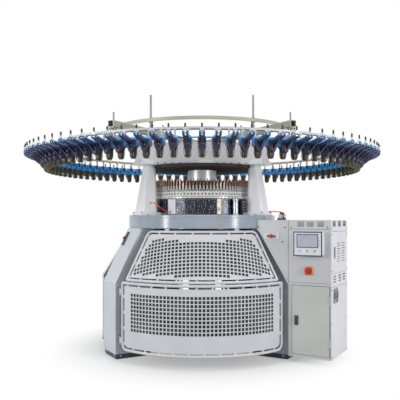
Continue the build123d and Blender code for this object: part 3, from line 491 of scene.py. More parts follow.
def screwHead(radius=5.0, height=3.0, socket=True):
    # a cap screw standing on z = 0, with its hexagon socket
    bm = startMesh()
    if socket:
        profile = [(0.01, 0), (radius, 0), (radius, height * 0.8), (radius * 0.85, height)]
        profile += [(radius * 0.5, height), (radius * 0.46, height * 0.4), (0.01, height * 0.4)]
    else:
        profile = [(0.01, 0), (radius, 0), (radius * 0.8, height * 0.7), (0.01, height)]
    addTurned(bm, profile, count=12, closed=False)
    return bm


def screws(name, radius, height, places, material=darkSteel, socket=True):
    onPoints(name, screwHead(radius, height, socket), places, material)


# Camera, where the photograph was taken from

camera = {"distance": 5115, "height": 1136, "focal": 561, "horizon": 220, "axis": 202, "frame": 400}
lens = bpy.data.cameras.new("camera")
lens.sensor_width = 36
lens.lens = camera["focal"] / camera["frame"] * 36
lens.shift_x = (camera["frame"] / 2 - camera["axis"]) / camera["frame"]
lens.shift_y = (camera["horizon"] - camera["frame"] / 2) / camera["frame"]
eye = bpy.data.objects.new("camera", lens)
bpy.context.scene.collection.objects.link(eye)
eye.location = (0, -camera["distance"] * mm, camera["height"] * mm)
eye.rotation_euler = (math.radians(90), 0, 0)
bpy.context.scene.camera = eye

# Air hoses: polyurethane tube along the solids' routes, their lengths and width in metres

hoses = {
    "rightHose": {
        "node": "right_air_hose", "station": rightLeg, "length": 0.3464, "diameter": 0.008,
        "points": [(606, 87, 1209), (676, 87, 1209), (748, 72, 1204), (800, 22, 1182),
                   (826, -50, 1154), (826, -100, 1154)],
    },
    "leftHose": {
        "node": "left_air_hose", "station": leftLeg, "length": 0.2339, "diameter": 0.008,
        "points": [(545, 92, 1283), (545, 146, 1283), (522, 196, 1240),
                   (465.45, 207.23, 1204), (419.77, 186.9, 1204)],
    },
}
for hoseName, hose in hoses.items():
    route = [at(*p, hose["station"]) for p in hose["points"]]
    curve = bpy.data.curves.new(hoseName, "CURVE")
    curve.dimensions = "3D"
    spline = curve.splines.new("NURBS")
    spline.points.add(len(route) - 1)
    for point, where in zip(spline.points, route):
        point.co = (*where, 1.0)
    spline.order_u = 3
    spline.use_endpoint_u = True
    spline.resolution_u = 12
    curve.bevel_depth = hose["diameter"] / 2
    curve.bevel_resolution = 4
    curve.use_fill_caps = True
    curve.materials.append(hoseRed)
    tube = bpy.data.objects.new(hoseName, curve)
    bpy.context.scene.collection.objects.link(tube)
    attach(tube, "frame")
    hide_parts(hose["node"])
print("hoses ready")

# Legs, feet and the spider between them

for legName, nodeName in (("rightLeg", "right_leg"), ("leftLeg", "left_leg"), ("rearLeg", "rear_leg")):
    bevelledCopy(legName, nodeName, legCoat, 4.0, 3)
bevelledCopy("legSpider", "base_spider", frameEnamelDarkenedForShade, 3.0)

feet = {"inner": 568, "outer": 882, "half": 127, "pad": 9, "top": 41, "padInset": 6,
        "boltHeight": 25, "outerBolts": (-90, 90), "sideBolts": (610, 840)}
half, inset = feet["half"], feet["padInset"]
blocks, pads, bolts = startMesh(), startMesh(), []
for station in legStations:
    addBlock(blocks, (feet["inner"], feet["outer"]), (-half, half), (feet["pad"], feet["top"]), station)
    addBlock(pads, (feet["inner"] + inset, feet["outer"] - inset), (inset - half, half - inset),
             (0, feet["pad"]), station)
    for t in feet["outerBolts"]:
        bolts.append(facingOut(feet["outer"], t, feet["boltHeight"], station))
    for side in (-1, 1):
        for u in feet["sideBolts"]:
            bolts.append((at(u, side * half, feet["boltHeight"], station), toward(0, side, 0, station)))
piece("footBlocks", blocks, footEnamel, "foot_paint", replaced=("leveling_feet",), bevel=3.0)
piece("footPads", pads, padRubber, "foot_paint", bevel=1.5)
screws("footBolts", 8, 5, bolts, zincSteel, socket=False)

# Bed plate with the groove round its rim, its screws and its oil plugs

bed = {"radius": 659.5, "bore": 405, "bottom": 1066, "top": 1177, "chamfer": 4.5,
       "groove": (26, 20), "grooveDepth": 2, "screwRing": 632, "screwPitch": 15, "legGap": 12,
       "plugs": (13, 133, 253), "plugHeight": 1101, "plugSunk": 0.3}
rim, low, high, cut = bed["radius"], bed["bottom"], bed["top"], bed["chamfer"]
grooveLow, grooveHigh = [high - below for below in bed["groove"]]
turnedPiece("bedPlate", [
    (bed["bore"], low), (rim - cut, low), (rim, low + cut), (rim, grooveLow),
    (rim - bed["grooveDepth"], grooveLow + 1), (rim - bed["grooveDepth"], grooveHigh - 1),
    (rim, grooveHigh), (rim, high - cut), (rim - cut, high), (bed["bore"], high),
], 240, bedEnamel, "bed_paint", replaced=("bed_plate",))
screws("bedScrews", 8, 5, [
    facingUp(bed["screwRing"], 0, high, station) for station in range(0, 360, bed["screwPitch"])
    if min(abs((station - leg + 180) % 360 - 180) for leg in legStations) > bed["legGap"]
])
screws("bedPlugs", 8, 4, [
    facingOut(rim - bed["plugSunk"], 0, bed["plugHeight"], station) for station in bed["plugs"]
], fittingBrass)

# Columns and their flange bolts

flange = {"top": 1199, "across": (469, 634), "along": (-84, 84)}
for columnName, nodeName in (("rightColumn", "right_column"), ("leftColumn", "left_column"),
                             ("rearColumn", "rear_column")):
    bevelledCopy(columnName, nodeName, columnCoatLightened, 3.0, 3)
screws("columnBolts", 8, 7, [
    facingUp(u, t, flange["top"], station)
    for station in legStations for u in flange["across"] for t in flange["along"]
])

# Top housing with its row of bolts and the blank plate on its front

housing = {"face": 360, "sides": (0, 120, 240), "boltHeight": 1619, "boltPitch": 62.5, "boltSteps": 8,
           "plate": (-34, 110), "plateHeights": (1615, 1645), "plateThickness": 2, "plateGap": 12,
           "rivets": (-27, 103), "rivetHeights": (1622, 1638)}
bevelledCopy("topHousing", "top_housing", housingEnamel, 9.0, 3)
bevelledCopy("housingDisc", "housing_cover_disc", discEnamelShaded, 3.0)
face, plateFace = housing["face"], housing["face"] + housing["plateThickness"]
bolts = []
for station in housing["sides"]:
    for step in range(-housing["boltSteps"], housing["boltSteps"] + 1):
        t = step * housing["boltPitch"]
        start, end = housing["plate"][0] - housing["plateGap"], housing["plate"][1] + housing["plateGap"]
        if station or not start < t < end:
            bolts.append(facingOut(face, t, housing["boltHeight"], station))
screws("housingBolts", 5.5, 4, bolts)
blockPiece("housingPlate", (face, plateFace), housing["plate"], housing["plateHeights"], 0,
           stripWhite, "panel_white", 0.8)
screws("housingPlateRivets", 3, 1.5, [
    facingOut(plateFace, t, z) for t in housing["rivets"] for z in housing["rivetHeights"]
], zincSteel, socket=False)
print("legs, bed, columns and housing ready")

# Dial hub, the spokes on its plate and the bolts round its neck

hub = {
    "profile": [
        (41, 1362), (386, 1362), (388, 1364), (388, 1385), (386, 1387), (150, 1387), (146, 1391),
        (132, 1391), (129, 1394), (129, 1470), (126, 1472), (126, 1478), (129, 1480), (129, 1581.5),
        (41, 1581.5),
    ],
    "spokes": 12, "spoke": (150, 372), "spokeHalf": 9, "spokeHeights": (1387, 1397), "firstSpoke": 15,
    "neck": 129, "boltHeight": 1425, "boltPitch": 30,
}
turnedPiece("dialHub", hub["profile"], 160, hubChrome, "hub_steel", replaced=("dial_hub",))
bm = startMesh()
addBlock(bm, hub["spoke"], (-hub["spokeHalf"], hub["spokeHalf"]), hub["spokeHeights"])
repeatRound("dialPlateSpokes", bm, hub["spokes"], zincSteel, first=hub["firstSpoke"],
            bevel=1.5)
screws("hubBolts", 7, 5, [
    facingOut(hub["neck"], 0, hub["boltHeight"], station) for station in range(0, 360, hub["boltPitch"])
])

# Cam boxes on their ring: thirty blocks, each with its screws and its adjusting bars

cam = {
    "count": 30, "inner": 404, "outer": 445, "bottom": 1180, "top": 1314, "gap": 1.4,
    "core": (401, 441), "coreHeights": (1177, 1316),
    "adjusters": ((-4, 1228, 1262), (26, 1240, 1296)), "adjusterWidth": 7, "adjusterProud": 2.0,
    "rails": (1182, 1306), "railHeight": 6, "railHalf": 44, "railProud": 1.2,
    "screws": ((-34, 1198), (-34, 1296), (12, 1204), (12, 1290), (-22, 1247), (-30, 1220), (20, 1226)),
}
face = cam["outer"]
turnedPiece("camRingCore", flatRing(cam["core"], cam["coreHeights"]), 180, darkSteel, "cam_steel",
            replaced=("cam_box_ring",))
slant = math.tan(math.pi / cam["count"])
wide, narrow = face * slant - cam["gap"], cam["inner"] * slant - cam["gap"]
bm = startMesh()
addPlan(bm, [(cam["inner"], -narrow), (cam["inner"], narrow), (face, wide), (face, -wide)],
        (cam["bottom"], cam["top"]))
repeatRound("camBoxes", bm, cam["count"], camOxidePaintedSheen, bevel=2.0)
bm = startMesh()
for t, low, high in cam["adjusters"]:
    addBlock(bm, (face - 1, face + cam["adjusterProud"]), (t, t + cam["adjusterWidth"]), (low, high))
repeatRound("camAdjusters", bm, cam["count"], gearIron, bevel=0.8)
bm = startMesh()
for low in cam["rails"]:
    addBlock(bm, (face - 1, face + cam["railProud"]), (-cam["railHalf"], cam["railHalf"]),
             (low, low + cam["railHeight"]))
repeatRound("camRails", bm, cam["count"], gearIron, bevel=0.5)
screws("camScrews", 3.6, 2.6, [
    facingOut(face, t, z, station)
    for station in range(0, 360, 360 // cam["count"]) for t, z in cam["screws"]
], zincSteel)

# Round the cam boxes: a bronze strap, an oil panel and its connectors, guide posts, an oil manifold

strap = {"station": 18.5, "half": 17, "heights": (1182, 1314), "thickness": (1.0, 5),
         "bossHeight": 1236, "boss": [(7, 4), (13, 4), (13, 8), (11, 10), (7, 10)]}
bm = startMesh()
addBlock(bm, [face + out for out in strap["thickness"]], (-strap["half"], strap["half"]),
         strap["heights"], strap["station"])
addTurned(bm, strap["boss"], at(face, 0, strap["bossHeight"], strap["station"]),
          toward(1, 0, 0, strap["station"]), 20)
piece("bronzeStrap", bm, paleBronze, "fitting_brass", bevel=0.8)

oilPanel = {"station": -34.2, "half": 38, "heights": (1184, 1312), "thickness": (1.0, 12)}
blockPiece("oilPanel", [face + out for out in oilPanel["thickness"]],
           (-oilPanel["half"], oilPanel["half"]), oilPanel["heights"], oilPanel["station"],
           columnCoatLightened, "panel_white", 2.0)

connectors = {"station": -41, "across": (478, 500), "half": 34, "heights": (1177, 1189),
              "stubs": (-24, -8, 8, 24), "stubPlace": 489, "stubFoot": 1188, "stub": (6, 10)}
bm = startMesh()
addBlock(bm, connectors["across"], (-connectors["half"], connectors["half"]), connectors["heights"],
         connectors["station"])
for t in connectors["stubs"]:
    addTurned(bm, flatRing((0.01, connectors["stub"][0]), (0, connectors["stub"][1])),
              at(connectors["stubPlace"], t, connectors["stubFoot"], connectors["station"]),
              count=10, closed=False)
piece("oilConnectors", bm, connectorTeal, "fitting_brass", bevel=0.8)

posts = {"station": 36.2, "place": 478, "foot": 1177, "radius": 30, "height": 136, "waist": 6}
r, top, waist = posts["radius"], posts["height"], posts["radius"] - posts["waist"]
bm = startMesh()
for turn in (0, 120, -120):
    addTurned(bm, [(0.01, 0), (r, 0), (r, 8), (waist, 12), (waist, top - 18), (r - 3, top - 15),
                   (r - 3, top - 4), (waist, top), (0.01, top)],
              at(posts["place"], 0, posts["foot"], posts["station"] + turn), count=32, closed=False)
piece("guidePosts", bm, shaftSteel, "hub_steel")

manifold = {"station": 49, "across": (452, 474), "half": 26, "heights": (1177, 1308),
            "bars": (1196, 1218, 1240, 1262, 1284), "barHeight": 12, "barAcross": (473, 477),
            "barAlong": (-18, 20)}
blockPiece("oilManifold", manifold["across"], (-manifold["half"], manifold["half"]), manifold["heights"],
           manifold["station"], blackNylon, "cam_steel", 2.5)
bm = startMesh()
for z in manifold["bars"]:
    addBlock(bm, manifold["barAcross"], manifold["barAlong"], (z, z + manifold["barHeight"]),
             manifold["station"])
piece("manifoldBars", bm, zincSteel, "shaft_steel", bevel=0.6)

# Turned flange with its tabs, pale ring with ceramic yarn eyes, and the ring of fingers above

yarn = {"count": 90, "inner": 401, "flange": (1316, 1335), "flangeRadius": 440, "tabHalf": 11.5,
        "ring": (1335, 1378), "ringRadius": 431, "eyeHeight": 1356, "fingers": 1378, "twist": 2,
        "eye": [(7.0, -1), (10.4, -1), (10.6, 1.6), (9.4, 3.2), (7.6, 3.0)], "eyeHole": (7.2, 1.2),
        "core": ((401, 0), (416, 0), (414, 50), (407, 88), (401, 90))}
inner, rim, (low, high) = yarn["inner"], yarn["flangeRadius"], yarn["flange"]
turnedPiece("brightFlange", [
    (inner, low), (rim - 3, low), (rim, low + 3), (rim, high - 3), (rim - 3, high), (inner, high)
], 240, turnedSteel, "cam_steel")
bm = startMesh()
addBlock(bm, (rim - 2, rim + 1), (-yarn["tabHalf"], yarn["tabHalf"]), (low + 3, high - 3))
repeatRound("flangeTabs", bm, yarn["count"], stripWhite, first=yarn["twist"], bevel=0.6)
rim, (low, high) = yarn["ringRadius"], yarn["ring"]
turnedPiece("eyeRing", [
    (inner, low), (rim - 3, low), (rim, low + 4), (rim, high - 5), (rim - 3, high), (inner, high)
], 240, ringWhite, "eyelet_paint", replaced=("eyelet_ring",))
eyePlace, holeRadius, holeDepth = at(rim, 0, yarn["eyeHeight"]), *yarn["eyeHole"]
bm = startMesh()
addTurned(bm, yarn["eye"], eyePlace, (0, -1, 0), 16)
repeatRound("yarnEyes", bm, yarn["count"], eyeCeramic)
# black discs in the eyes' bores: painted shade inside the holes
bm = startMesh()
addTurned(bm, flatRing((0.01, holeRadius), (0, holeDepth)), eyePlace, (0, -1, 0), 12, False)
repeatRound("yarnEyeHoles", bm, yarn["count"], blackNylon)
low = yarn["fingers"]
turnedPiece("fingerCore", [(radius, low + rise) for radius, rise in yarn["core"]], 180, eyeletBronze,
            "guide_bronze", replaced=("yarn_guide_ring",))

# two tiers: pale slanted guides below, bronze fingers above, each unit twisted a little
guide = {"feet": (-9, 9), "half": 2.4, "foot": (1, 414, 429), "head": (44, 413, 428),
         "bar": (41, 47), "barHalf": 6}
w = guide["half"]
bm = startMesh()
for foot in guide["feet"]:
    addLoops(bm, [
        [at(u, t + side, low + rise) for u, side in ((near, -w), (near, w), (far, w), (far, -w))]
        for t, (rise, near, far) in ((foot, guide["foot"]), (0, guide["head"]))
    ])
addBlock(bm, guide["head"][1:], (-guide["barHalf"], guide["barHalf"]), [low + z for z in guide["bar"]])
repeatRound("lowerGuides", bm, yarn["count"], ringWhite, first=yarn["twist"], bevel=0.5)

finger = {  # from its foot up: height, how far it leans, half width, inner and outer radius
    "levels": ((46, -3.0, 6.0, 410, 429), (62, -1.0, 6.4, 411, 430), (84, 2.0, 5.2, 412, 430),
               (100, 4.5, 3.4, 414, 428), (107, 5.5, 1.8, 417, 426)),
    "shoulder": 5, "nose": 0.3,
}
bm = startMesh()
loops = []
for rise, lean, w, near, far in finger["levels"]:
    back, nose = far - finger["shoulder"], w * finger["nose"]
    plan = ((near, -w), (near, w), (back, w), (far, nose), (far, -nose), (back, -w))
    loops.append([at(u, lean + t, low + rise) for u, t in plan])
addLoops(bm, loops)
repeatRound("yarnFingers", bm, yarn["count"], ridgeBronze, first=yarn["twist"])
print("knitting head ready")

# Drive gear with teeth, needle cylinder and dial

gear = {"teeth": 132, "inner": 351, "root": 431, "tip": 438, "rootHalf": 7, "tipHalf": 3.4,
        "heights": (1010, 1060)}
turnedPiece("gearRim", flatRing((gear["inner"], gear["root"]), gear["heights"]), gear["teeth"],
            gearIron, "gear_iron", "cylinder", ("drive_gear",))
bm = startMesh()
foot, wide, narrow = gear["root"] - 1, gear["rootHalf"], gear["tipHalf"]
addPlan(bm, [(foot, -wide), (foot, wide), (gear["tip"], narrow), (gear["tip"], -narrow)], gear["heights"])
repeatRound("gearTeeth", bm, gear["teeth"], gearIron, "cylinder")
needleBed = [(354, 1060), (378, 1060), (378, 1318), (374, 1326), (374, 1331), (358, 1331), (354, 1326)]
turnedPiece("needleCylinder", needleBed, 180, turnedSteel, "cylinder_steel", "cylinder",
            ("needle_cylinder",))
recoat("dial", turnedSteel)

# Take-down: frame, rubber nip rollers and the winding shaft

takeDown = bevelledCopy("takeDownFrame", "take_down_frame", frameEnamelDarkenedForShade, 3.0,
                        body="cylinder")
pivot = {"reach": 30, "top": 180.5, "share": 0.98}
for point in takeDown.data.vertices:  # the pivot pin runs free in the spider's faceted bore
    if point.co.z < pivot["top"] * mm and point.co.xy.length < pivot["reach"] * mm:
        point.co.xy = point.co.xy * pivot["share"]
rollers = {
    "frontNip": {"y": -24.5, "z": 640, "radius": 24, "body": "front_roller", "node": "front_nip_roller"},
    "rearNip": {"y": 24.5, "z": 640, "radius": 24, "body": "rear_roller", "node": "rear_nip_roller"},
    "winding": {"y": 0, "z": 420, "radius": 16, "body": "winder", "node": "winding_shaft"},
}
sleeve = {"half": 330, "seat": 334, "end": 354, "ribs": 32, "ribPitch": 10, "rib": 3, "depth": 1.1}
for rollerName, roller in rollers.items():
    r, origin = roller["radius"], Vector((0, roller["y"], roller["z"])) * mm
    seat, end = sleeve["seat"], sleeve["end"]
    bm = startMesh()
    ends = [(0.01, end), (r - 3, end), (r - 0.2, end - 3), (r - 0.2, seat), (r - 4, seat - 3)]
    profile = [(a, -b) for a, b in ends] + [(a, b) for a, b in reversed(ends)]
    addTurned(bm, profile, origin, (1, 0, 0), 32, False)
    piece(rollerName + "Shaft", bm, shaftSteel, "shaft_steel", roller["body"], (roller["node"],))
    bm = startMesh()
    half, top = sleeve["half"], r - 0.1
    profile = [(r - 4, -half), (r - 0.4, -half)]
    for step in range(-sleeve["ribs"], sleeve["ribs"] + 1):
        x = step * sleeve["ribPitch"]
        profile += [(top, x - sleeve["rib"]), (top, x + sleeve["rib"]),
                    (top - sleeve["depth"], x + sleeve["ribPitch"] / 2)]
    profile += [(r - 0.4, half), (r - 4, half)]
    addTurned(bm, profile, origin, (1, 0, 0), 28)
    piece(rollerName + "Sleeve", bm, rollerRubber, "roller_rubber", roller["body"])

# Drive under the cover

bevelledCopy("mainMotor", "main_motor", motorEnamel, 0.8, 1)
bevelledCopy("motorPlate", "motor_plate", frameEnamelDarkenedForShade, 1.0)
bevelledCopy("shaftBearing", "shaft_bearing", frameEnamelDarkenedForShade, 1.5)
recoat("pinion_shaft", gearIron)
recoat("motor_pulley", zincSteel)
recoat("main_belt", beltRubber)
print("cylinder, take-down and drive ready")

# Arms: six open square tubes from a hexagonal plate, with hangers, rods and ring clamps

arms = {
    "count": 6, "first": 30, "size": 50, "wall": 4, "corner": 4, "innerCorner": 1.5,
    "inner": 100, "outer": 1300, "bottom": 1797, "rod": 806, "rodTop": 2120,
    "hub": [(0.01, 1797), (126.5, 1797), (126.5, 1844), (123, 1847), (60, 1847), (56, 1851),
            (0.01, 1851)],
    "hubBolts": (92, 1847),
    "hanger": [(1240, 1796.5), (1240, 1787), (1312.5, 1787), (1312.5, 1770), (1324, 1770),
               (1324, 1796.5)],
    "hangerHalf": 20, "underBolts": (1256, 1290), "underBoltHalf": 10,
    "faceBolts": (1324, 1783), "faceBoltHalf": 11,
    "clampReach": (14, 8.6), "clampHalf": 14, "clampHeights": (1900, 1944),
}
middle, first = arms["bottom"] + arms["size"] / 2, arms["first"]
armStations = range(first, 360, 360 // arms["count"])


def squareSection(half, corner, u):
    points = []
    for a, b in ((1, 1), (-1, 1), (-1, -1), (1, -1)):
        ends = [(a * half, b * (half - corner)), (a * (half - corner), b * half)]
        points += ends if a * b > 0 else ends[::-1]
    return [at(u, t, middle + z) for t, z in points]


bm = startMesh()
half = arms["size"] / 2
addLoops(bm, [
    squareSection(half, arms["corner"], arms["inner"]),
    squareSection(half, arms["corner"], arms["outer"]),
    squareSection(half - arms["wall"], arms["innerCorner"], arms["outer"]),
    squareSection(half - arms["wall"], arms["innerCorner"], arms["inner"]),
], closed=True)
repeatRound("armTubes", bm, arms["count"], armAlloy, replaced=("ring_arms",), first=first)
bm = startMesh()
addTurned(bm, arms["hub"], count=arms["count"], closed=False)
bmesh.ops.rotate(bm, verts=bm.verts, cent=(0, 0, 0), matrix=Matrix.Rotation(math.radians(first), 3, "Z"))
piece("armHub", bm, armAlloy, "arm_paint", bevel=2.0)
u, z = arms["hubBolts"]
screws("armHubBolts", 9, 6, [facingUp(u, 0, z, station - first) for station in armStations])
bm = startMesh()
addSide(bm, arms["hanger"], (-arms["hangerHalf"], arms["hangerHalf"]))
repeatRound("armHangers", bm, arms["count"], armAlloy, first=first, bevel=1.5)
under, (faceU, faceZ) = arms["hanger"][1][1], arms["faceBolts"]
bolts = [(at(u, t, under, station), (0, 0, -1)) for station in armStations
         for u in arms["underBolts"] for t in (-arms["underBoltHalf"], arms["underBoltHalf"])]
bolts += [facingOut(faceU, t, faceZ, station) for station in armStations
          for t in (-arms["faceBoltHalf"], arms["faceBoltHalf"])]
screws("hangerBolts", 5.5, 4, bolts)
bm = startMesh()
top = arms["rodTop"]
addTurned(bm, [(0.01, 1846), (20, 1846), (20, 1852), (12, 1856), (12, 1878), (8, 1880), (8, top - 1.5),
               (6.5, top), (0.01, top)], at(arms["rod"], 0, 0), count=16, closed=False)
repeatRound("armRods", bm, arms["count"], rodSteel, first=first)
bm = startMesh()
inward, outward = arms["clampReach"]
addBlock(bm, (arms["rod"] - inward, arms["rod"] + outward), (-arms["clampHalf"], arms["clampHalf"]),
         arms["clampHeights"])
repeatRound("rodClamps", bm, arms["count"], gearIron, first=first, bevel=1.5)

# Upper ring, and the feeder ring with its edge strip and belt

rings = {
    "upper": [(816, 1909), (817, 1908), (823, 1908), (824, 1909), (824, 1935), (823, 1936), (817, 1936),
              (816, 1935)],
    "feeder": [(1312, 1754), (1324, 1754), (1324, 1769), (1323, 1770), (1313, 1770), (1312, 1769)],
    "edge": flatRing((1311.5, 1324.5), (1748, 1754)),
    "belt": flatRing((1324.6, 1326.2), (1691, 1700)),
}
turnedPiece("upperRing", rings["upper"], 240, upperCoat, "ring_paint", replaced=("upper_ring",))
turnedPiece("feederRing", rings["feeder"], 300, ringCoat, "ring_paint")
turnedPiece("feederRingEdge", rings["edge"], 300, ringEdge, "ring_paint")
turnedPiece("feederBelt", rings["belt"], 240, feederBeltBlue, "feeder_belt", replaced=("feeder_belt",))

# Feeders: ninety times a body, a cover, a bracket, a fork, a yarn guide, a pin and a storage wheel.
# Bodies and covers are levels of (height, inner radius, outer radius, half width).

feeder = {
    "count": 90, "tip": 1541, "wheel": 1370,
    "body": [(1590, 1398, 1412, 6), (1604, 1388, 1419, 14), (1628, 1346, 1424, 22),
             (1648, 1328, 1426, 25.5), (1676, 1328, 1425, 25.5), (1685, 1331, 1416, 21)],
    "web": [(1412, 1614), (1424, 1614), (1442, 1626), (1498, 1670), (1498, 1684), (1436, 1664),
            (1412, 1660)],
    "cover": [(1638, 1326, 1352, 22), (1646, 1325, 1392, 29), (1688, 1325, 1394, 29),
              (1704, 1328, 1368, 20)],
    "rail": [(1388, 1672), (1436, 1670), (1552, 1698), (1552, 1708), (1436, 1684), (1388, 1690)],
    "prong": [(1408, 1651), (1436, 1651), (1550, 1684), (1550, 1699), (1436, 1671), (1408, 1673)],
    "lean": ((20, 1694), (10, 1694), (1, 1724), (9, 1724)),
    "pin": [(0.01, 1724), (6.5, 1724), (6.5, 1751), (4.5, 1756), (0.01, 1756)],
    "drum": [(0.01, 1638), (24, 1638), (28, 1631), (28, 1622), (24, 1616), (21, 1606), (19, 1580),
             (18, 1572), (21, 1568), (21, 1564), (15, 1560), (0.01, 1560)],
    "wires": 6, "wireHalf": 1.5, "wirePath": ((26.5, 1618), (26, 1584), (22, 1566), (14, 1556)),
    "basketRim": [(12, 1554), (16, 1554), (18, 1557), (16, 1559), (12, 1559)],
    "webHalf": 5, "railSides": (6, 19.5), "prongSides": (6.5, 19), "leanReach": (1537, 1546),
    "stem": ((1313, 1329), (-6, 6), (1664, 1704)), "bridge": ((1404, 1432), (-19, 19), (1650, 1673)),
    "bracket": ((1313, 1326), (-6, 6), (1704, 1752)), "clamp": ((1308, 1328), (-8, 8), (1742, 1754)),
    "lowBar": ((1536, 1546), (-21, 21), (1689, 1698)), "topBar": ((1535, 1548), (-9, 9), (1716, 1728)),
    "lamp": ((1423, 1427), (-14, -7), (1636, 1642)), "eye": (1424, 10, 1640),
}


def addLevels(bm, levels):
    addLoops(bm, [[at(u, t, z) for u, t in ((a, -w), (a, w), (b, w), (b, -w))] for z, a, b, w in levels])


def addPair(bm, outline, sides):
    # the same side outline left and right of the feeder's middle
    near, far = sides
    addSide(bm, outline, (-far, -near))
    addSide(bm, outline, (near, far))


def feederPart(name, bm, material, bevel=0.0, replaced=()):
    repeatRound(name, bm, feeder["count"], material, replaced=replaced, bevel=bevel)


bm = startMesh()
addLevels(bm, feeder["body"])
addBlock(bm, *feeder["stem"])
addSide(bm, feeder["web"], (-feeder["webHalf"], feeder["webHalf"]))
feederPart("feederBodies", bm, feederNylon, 2.0, replaced=(
    "front_feeder_segment", "right_feeder_segment", "left_feeder_segment"))
bm = startMesh()
addLevels(bm, feeder["cover"])
addPair(bm, feeder["rail"], feeder["railSides"])
feederPart("feederCovers", bm, coverBlue, 2.0)
bm = startMesh()
addBlock(bm, *feeder["bracket"])
addBlock(bm, *feeder["clamp"])
feederPart("feederBrackets", bm, ringCoat, 1.2)
bm = startMesh()
addPair(bm, feeder["prong"], feeder["prongSides"])
addBlock(bm, *feeder["bridge"])
feederPart("feederForks", bm, forkNylon, 1.2)
bm = startMesh()
addBlock(bm, *feeder["lowBar"])
for side in (-1, 1):
    addLoops(bm, [[at(u, side * t, z) for t, z in feeder["lean"]] for u in feeder["leanReach"]])
addBlock(bm, *feeder["topBar"])
feederPart("feederGuides", bm, eyeCeramic, 1.0)
bm = startMesh()
addTurned(bm, feeder["pin"], at(feeder["tip"], 0, 0), count=10, closed=False)
feederPart("feederPins", bm, blackNylon)
bm = startMesh()
addTurned(bm, feeder["drum"], at(feeder["wheel"], 0, 0), count=12, closed=False)
feederPart("storageWheels", bm, blackNylon)
bm = startMesh()
w = feeder["wireHalf"]
for i in range(feeder["wires"]):
    turn = math.radians(i * 360 / feeder["wires"] + 30)
    addLoops(bm, [[at(feeder["wheel"] + r * math.cos(turn) + a, r * math.sin(turn) + b, z)
                   for a, b in ((-w, -w), (w, -w), (w, w), (-w, w))] for r, z in feeder["wirePath"]])
feederPart("basketWires", bm, basketBrass)
bm = startMesh()
addTurned(bm, feeder["basketRim"], at(feeder["wheel"], 0, 0), count=14)
feederPart("basketRims", bm, basketBrass)
bm = startMesh()
addBlock(bm, *feeder["lamp"])
feederPart("feederLamps", bm, knobRed)
bm = startMesh()
addTurned(bm, flatRing((2.5, 4.5), (-2, 3)), at(*feeder["eye"]), (0, -1, 0), 10)
feederPart("feederEyes", bm, eyeCeramic)
print("rings and feeders ready")

# Gates: perforated sheet in a round tube frame, held by small tabs

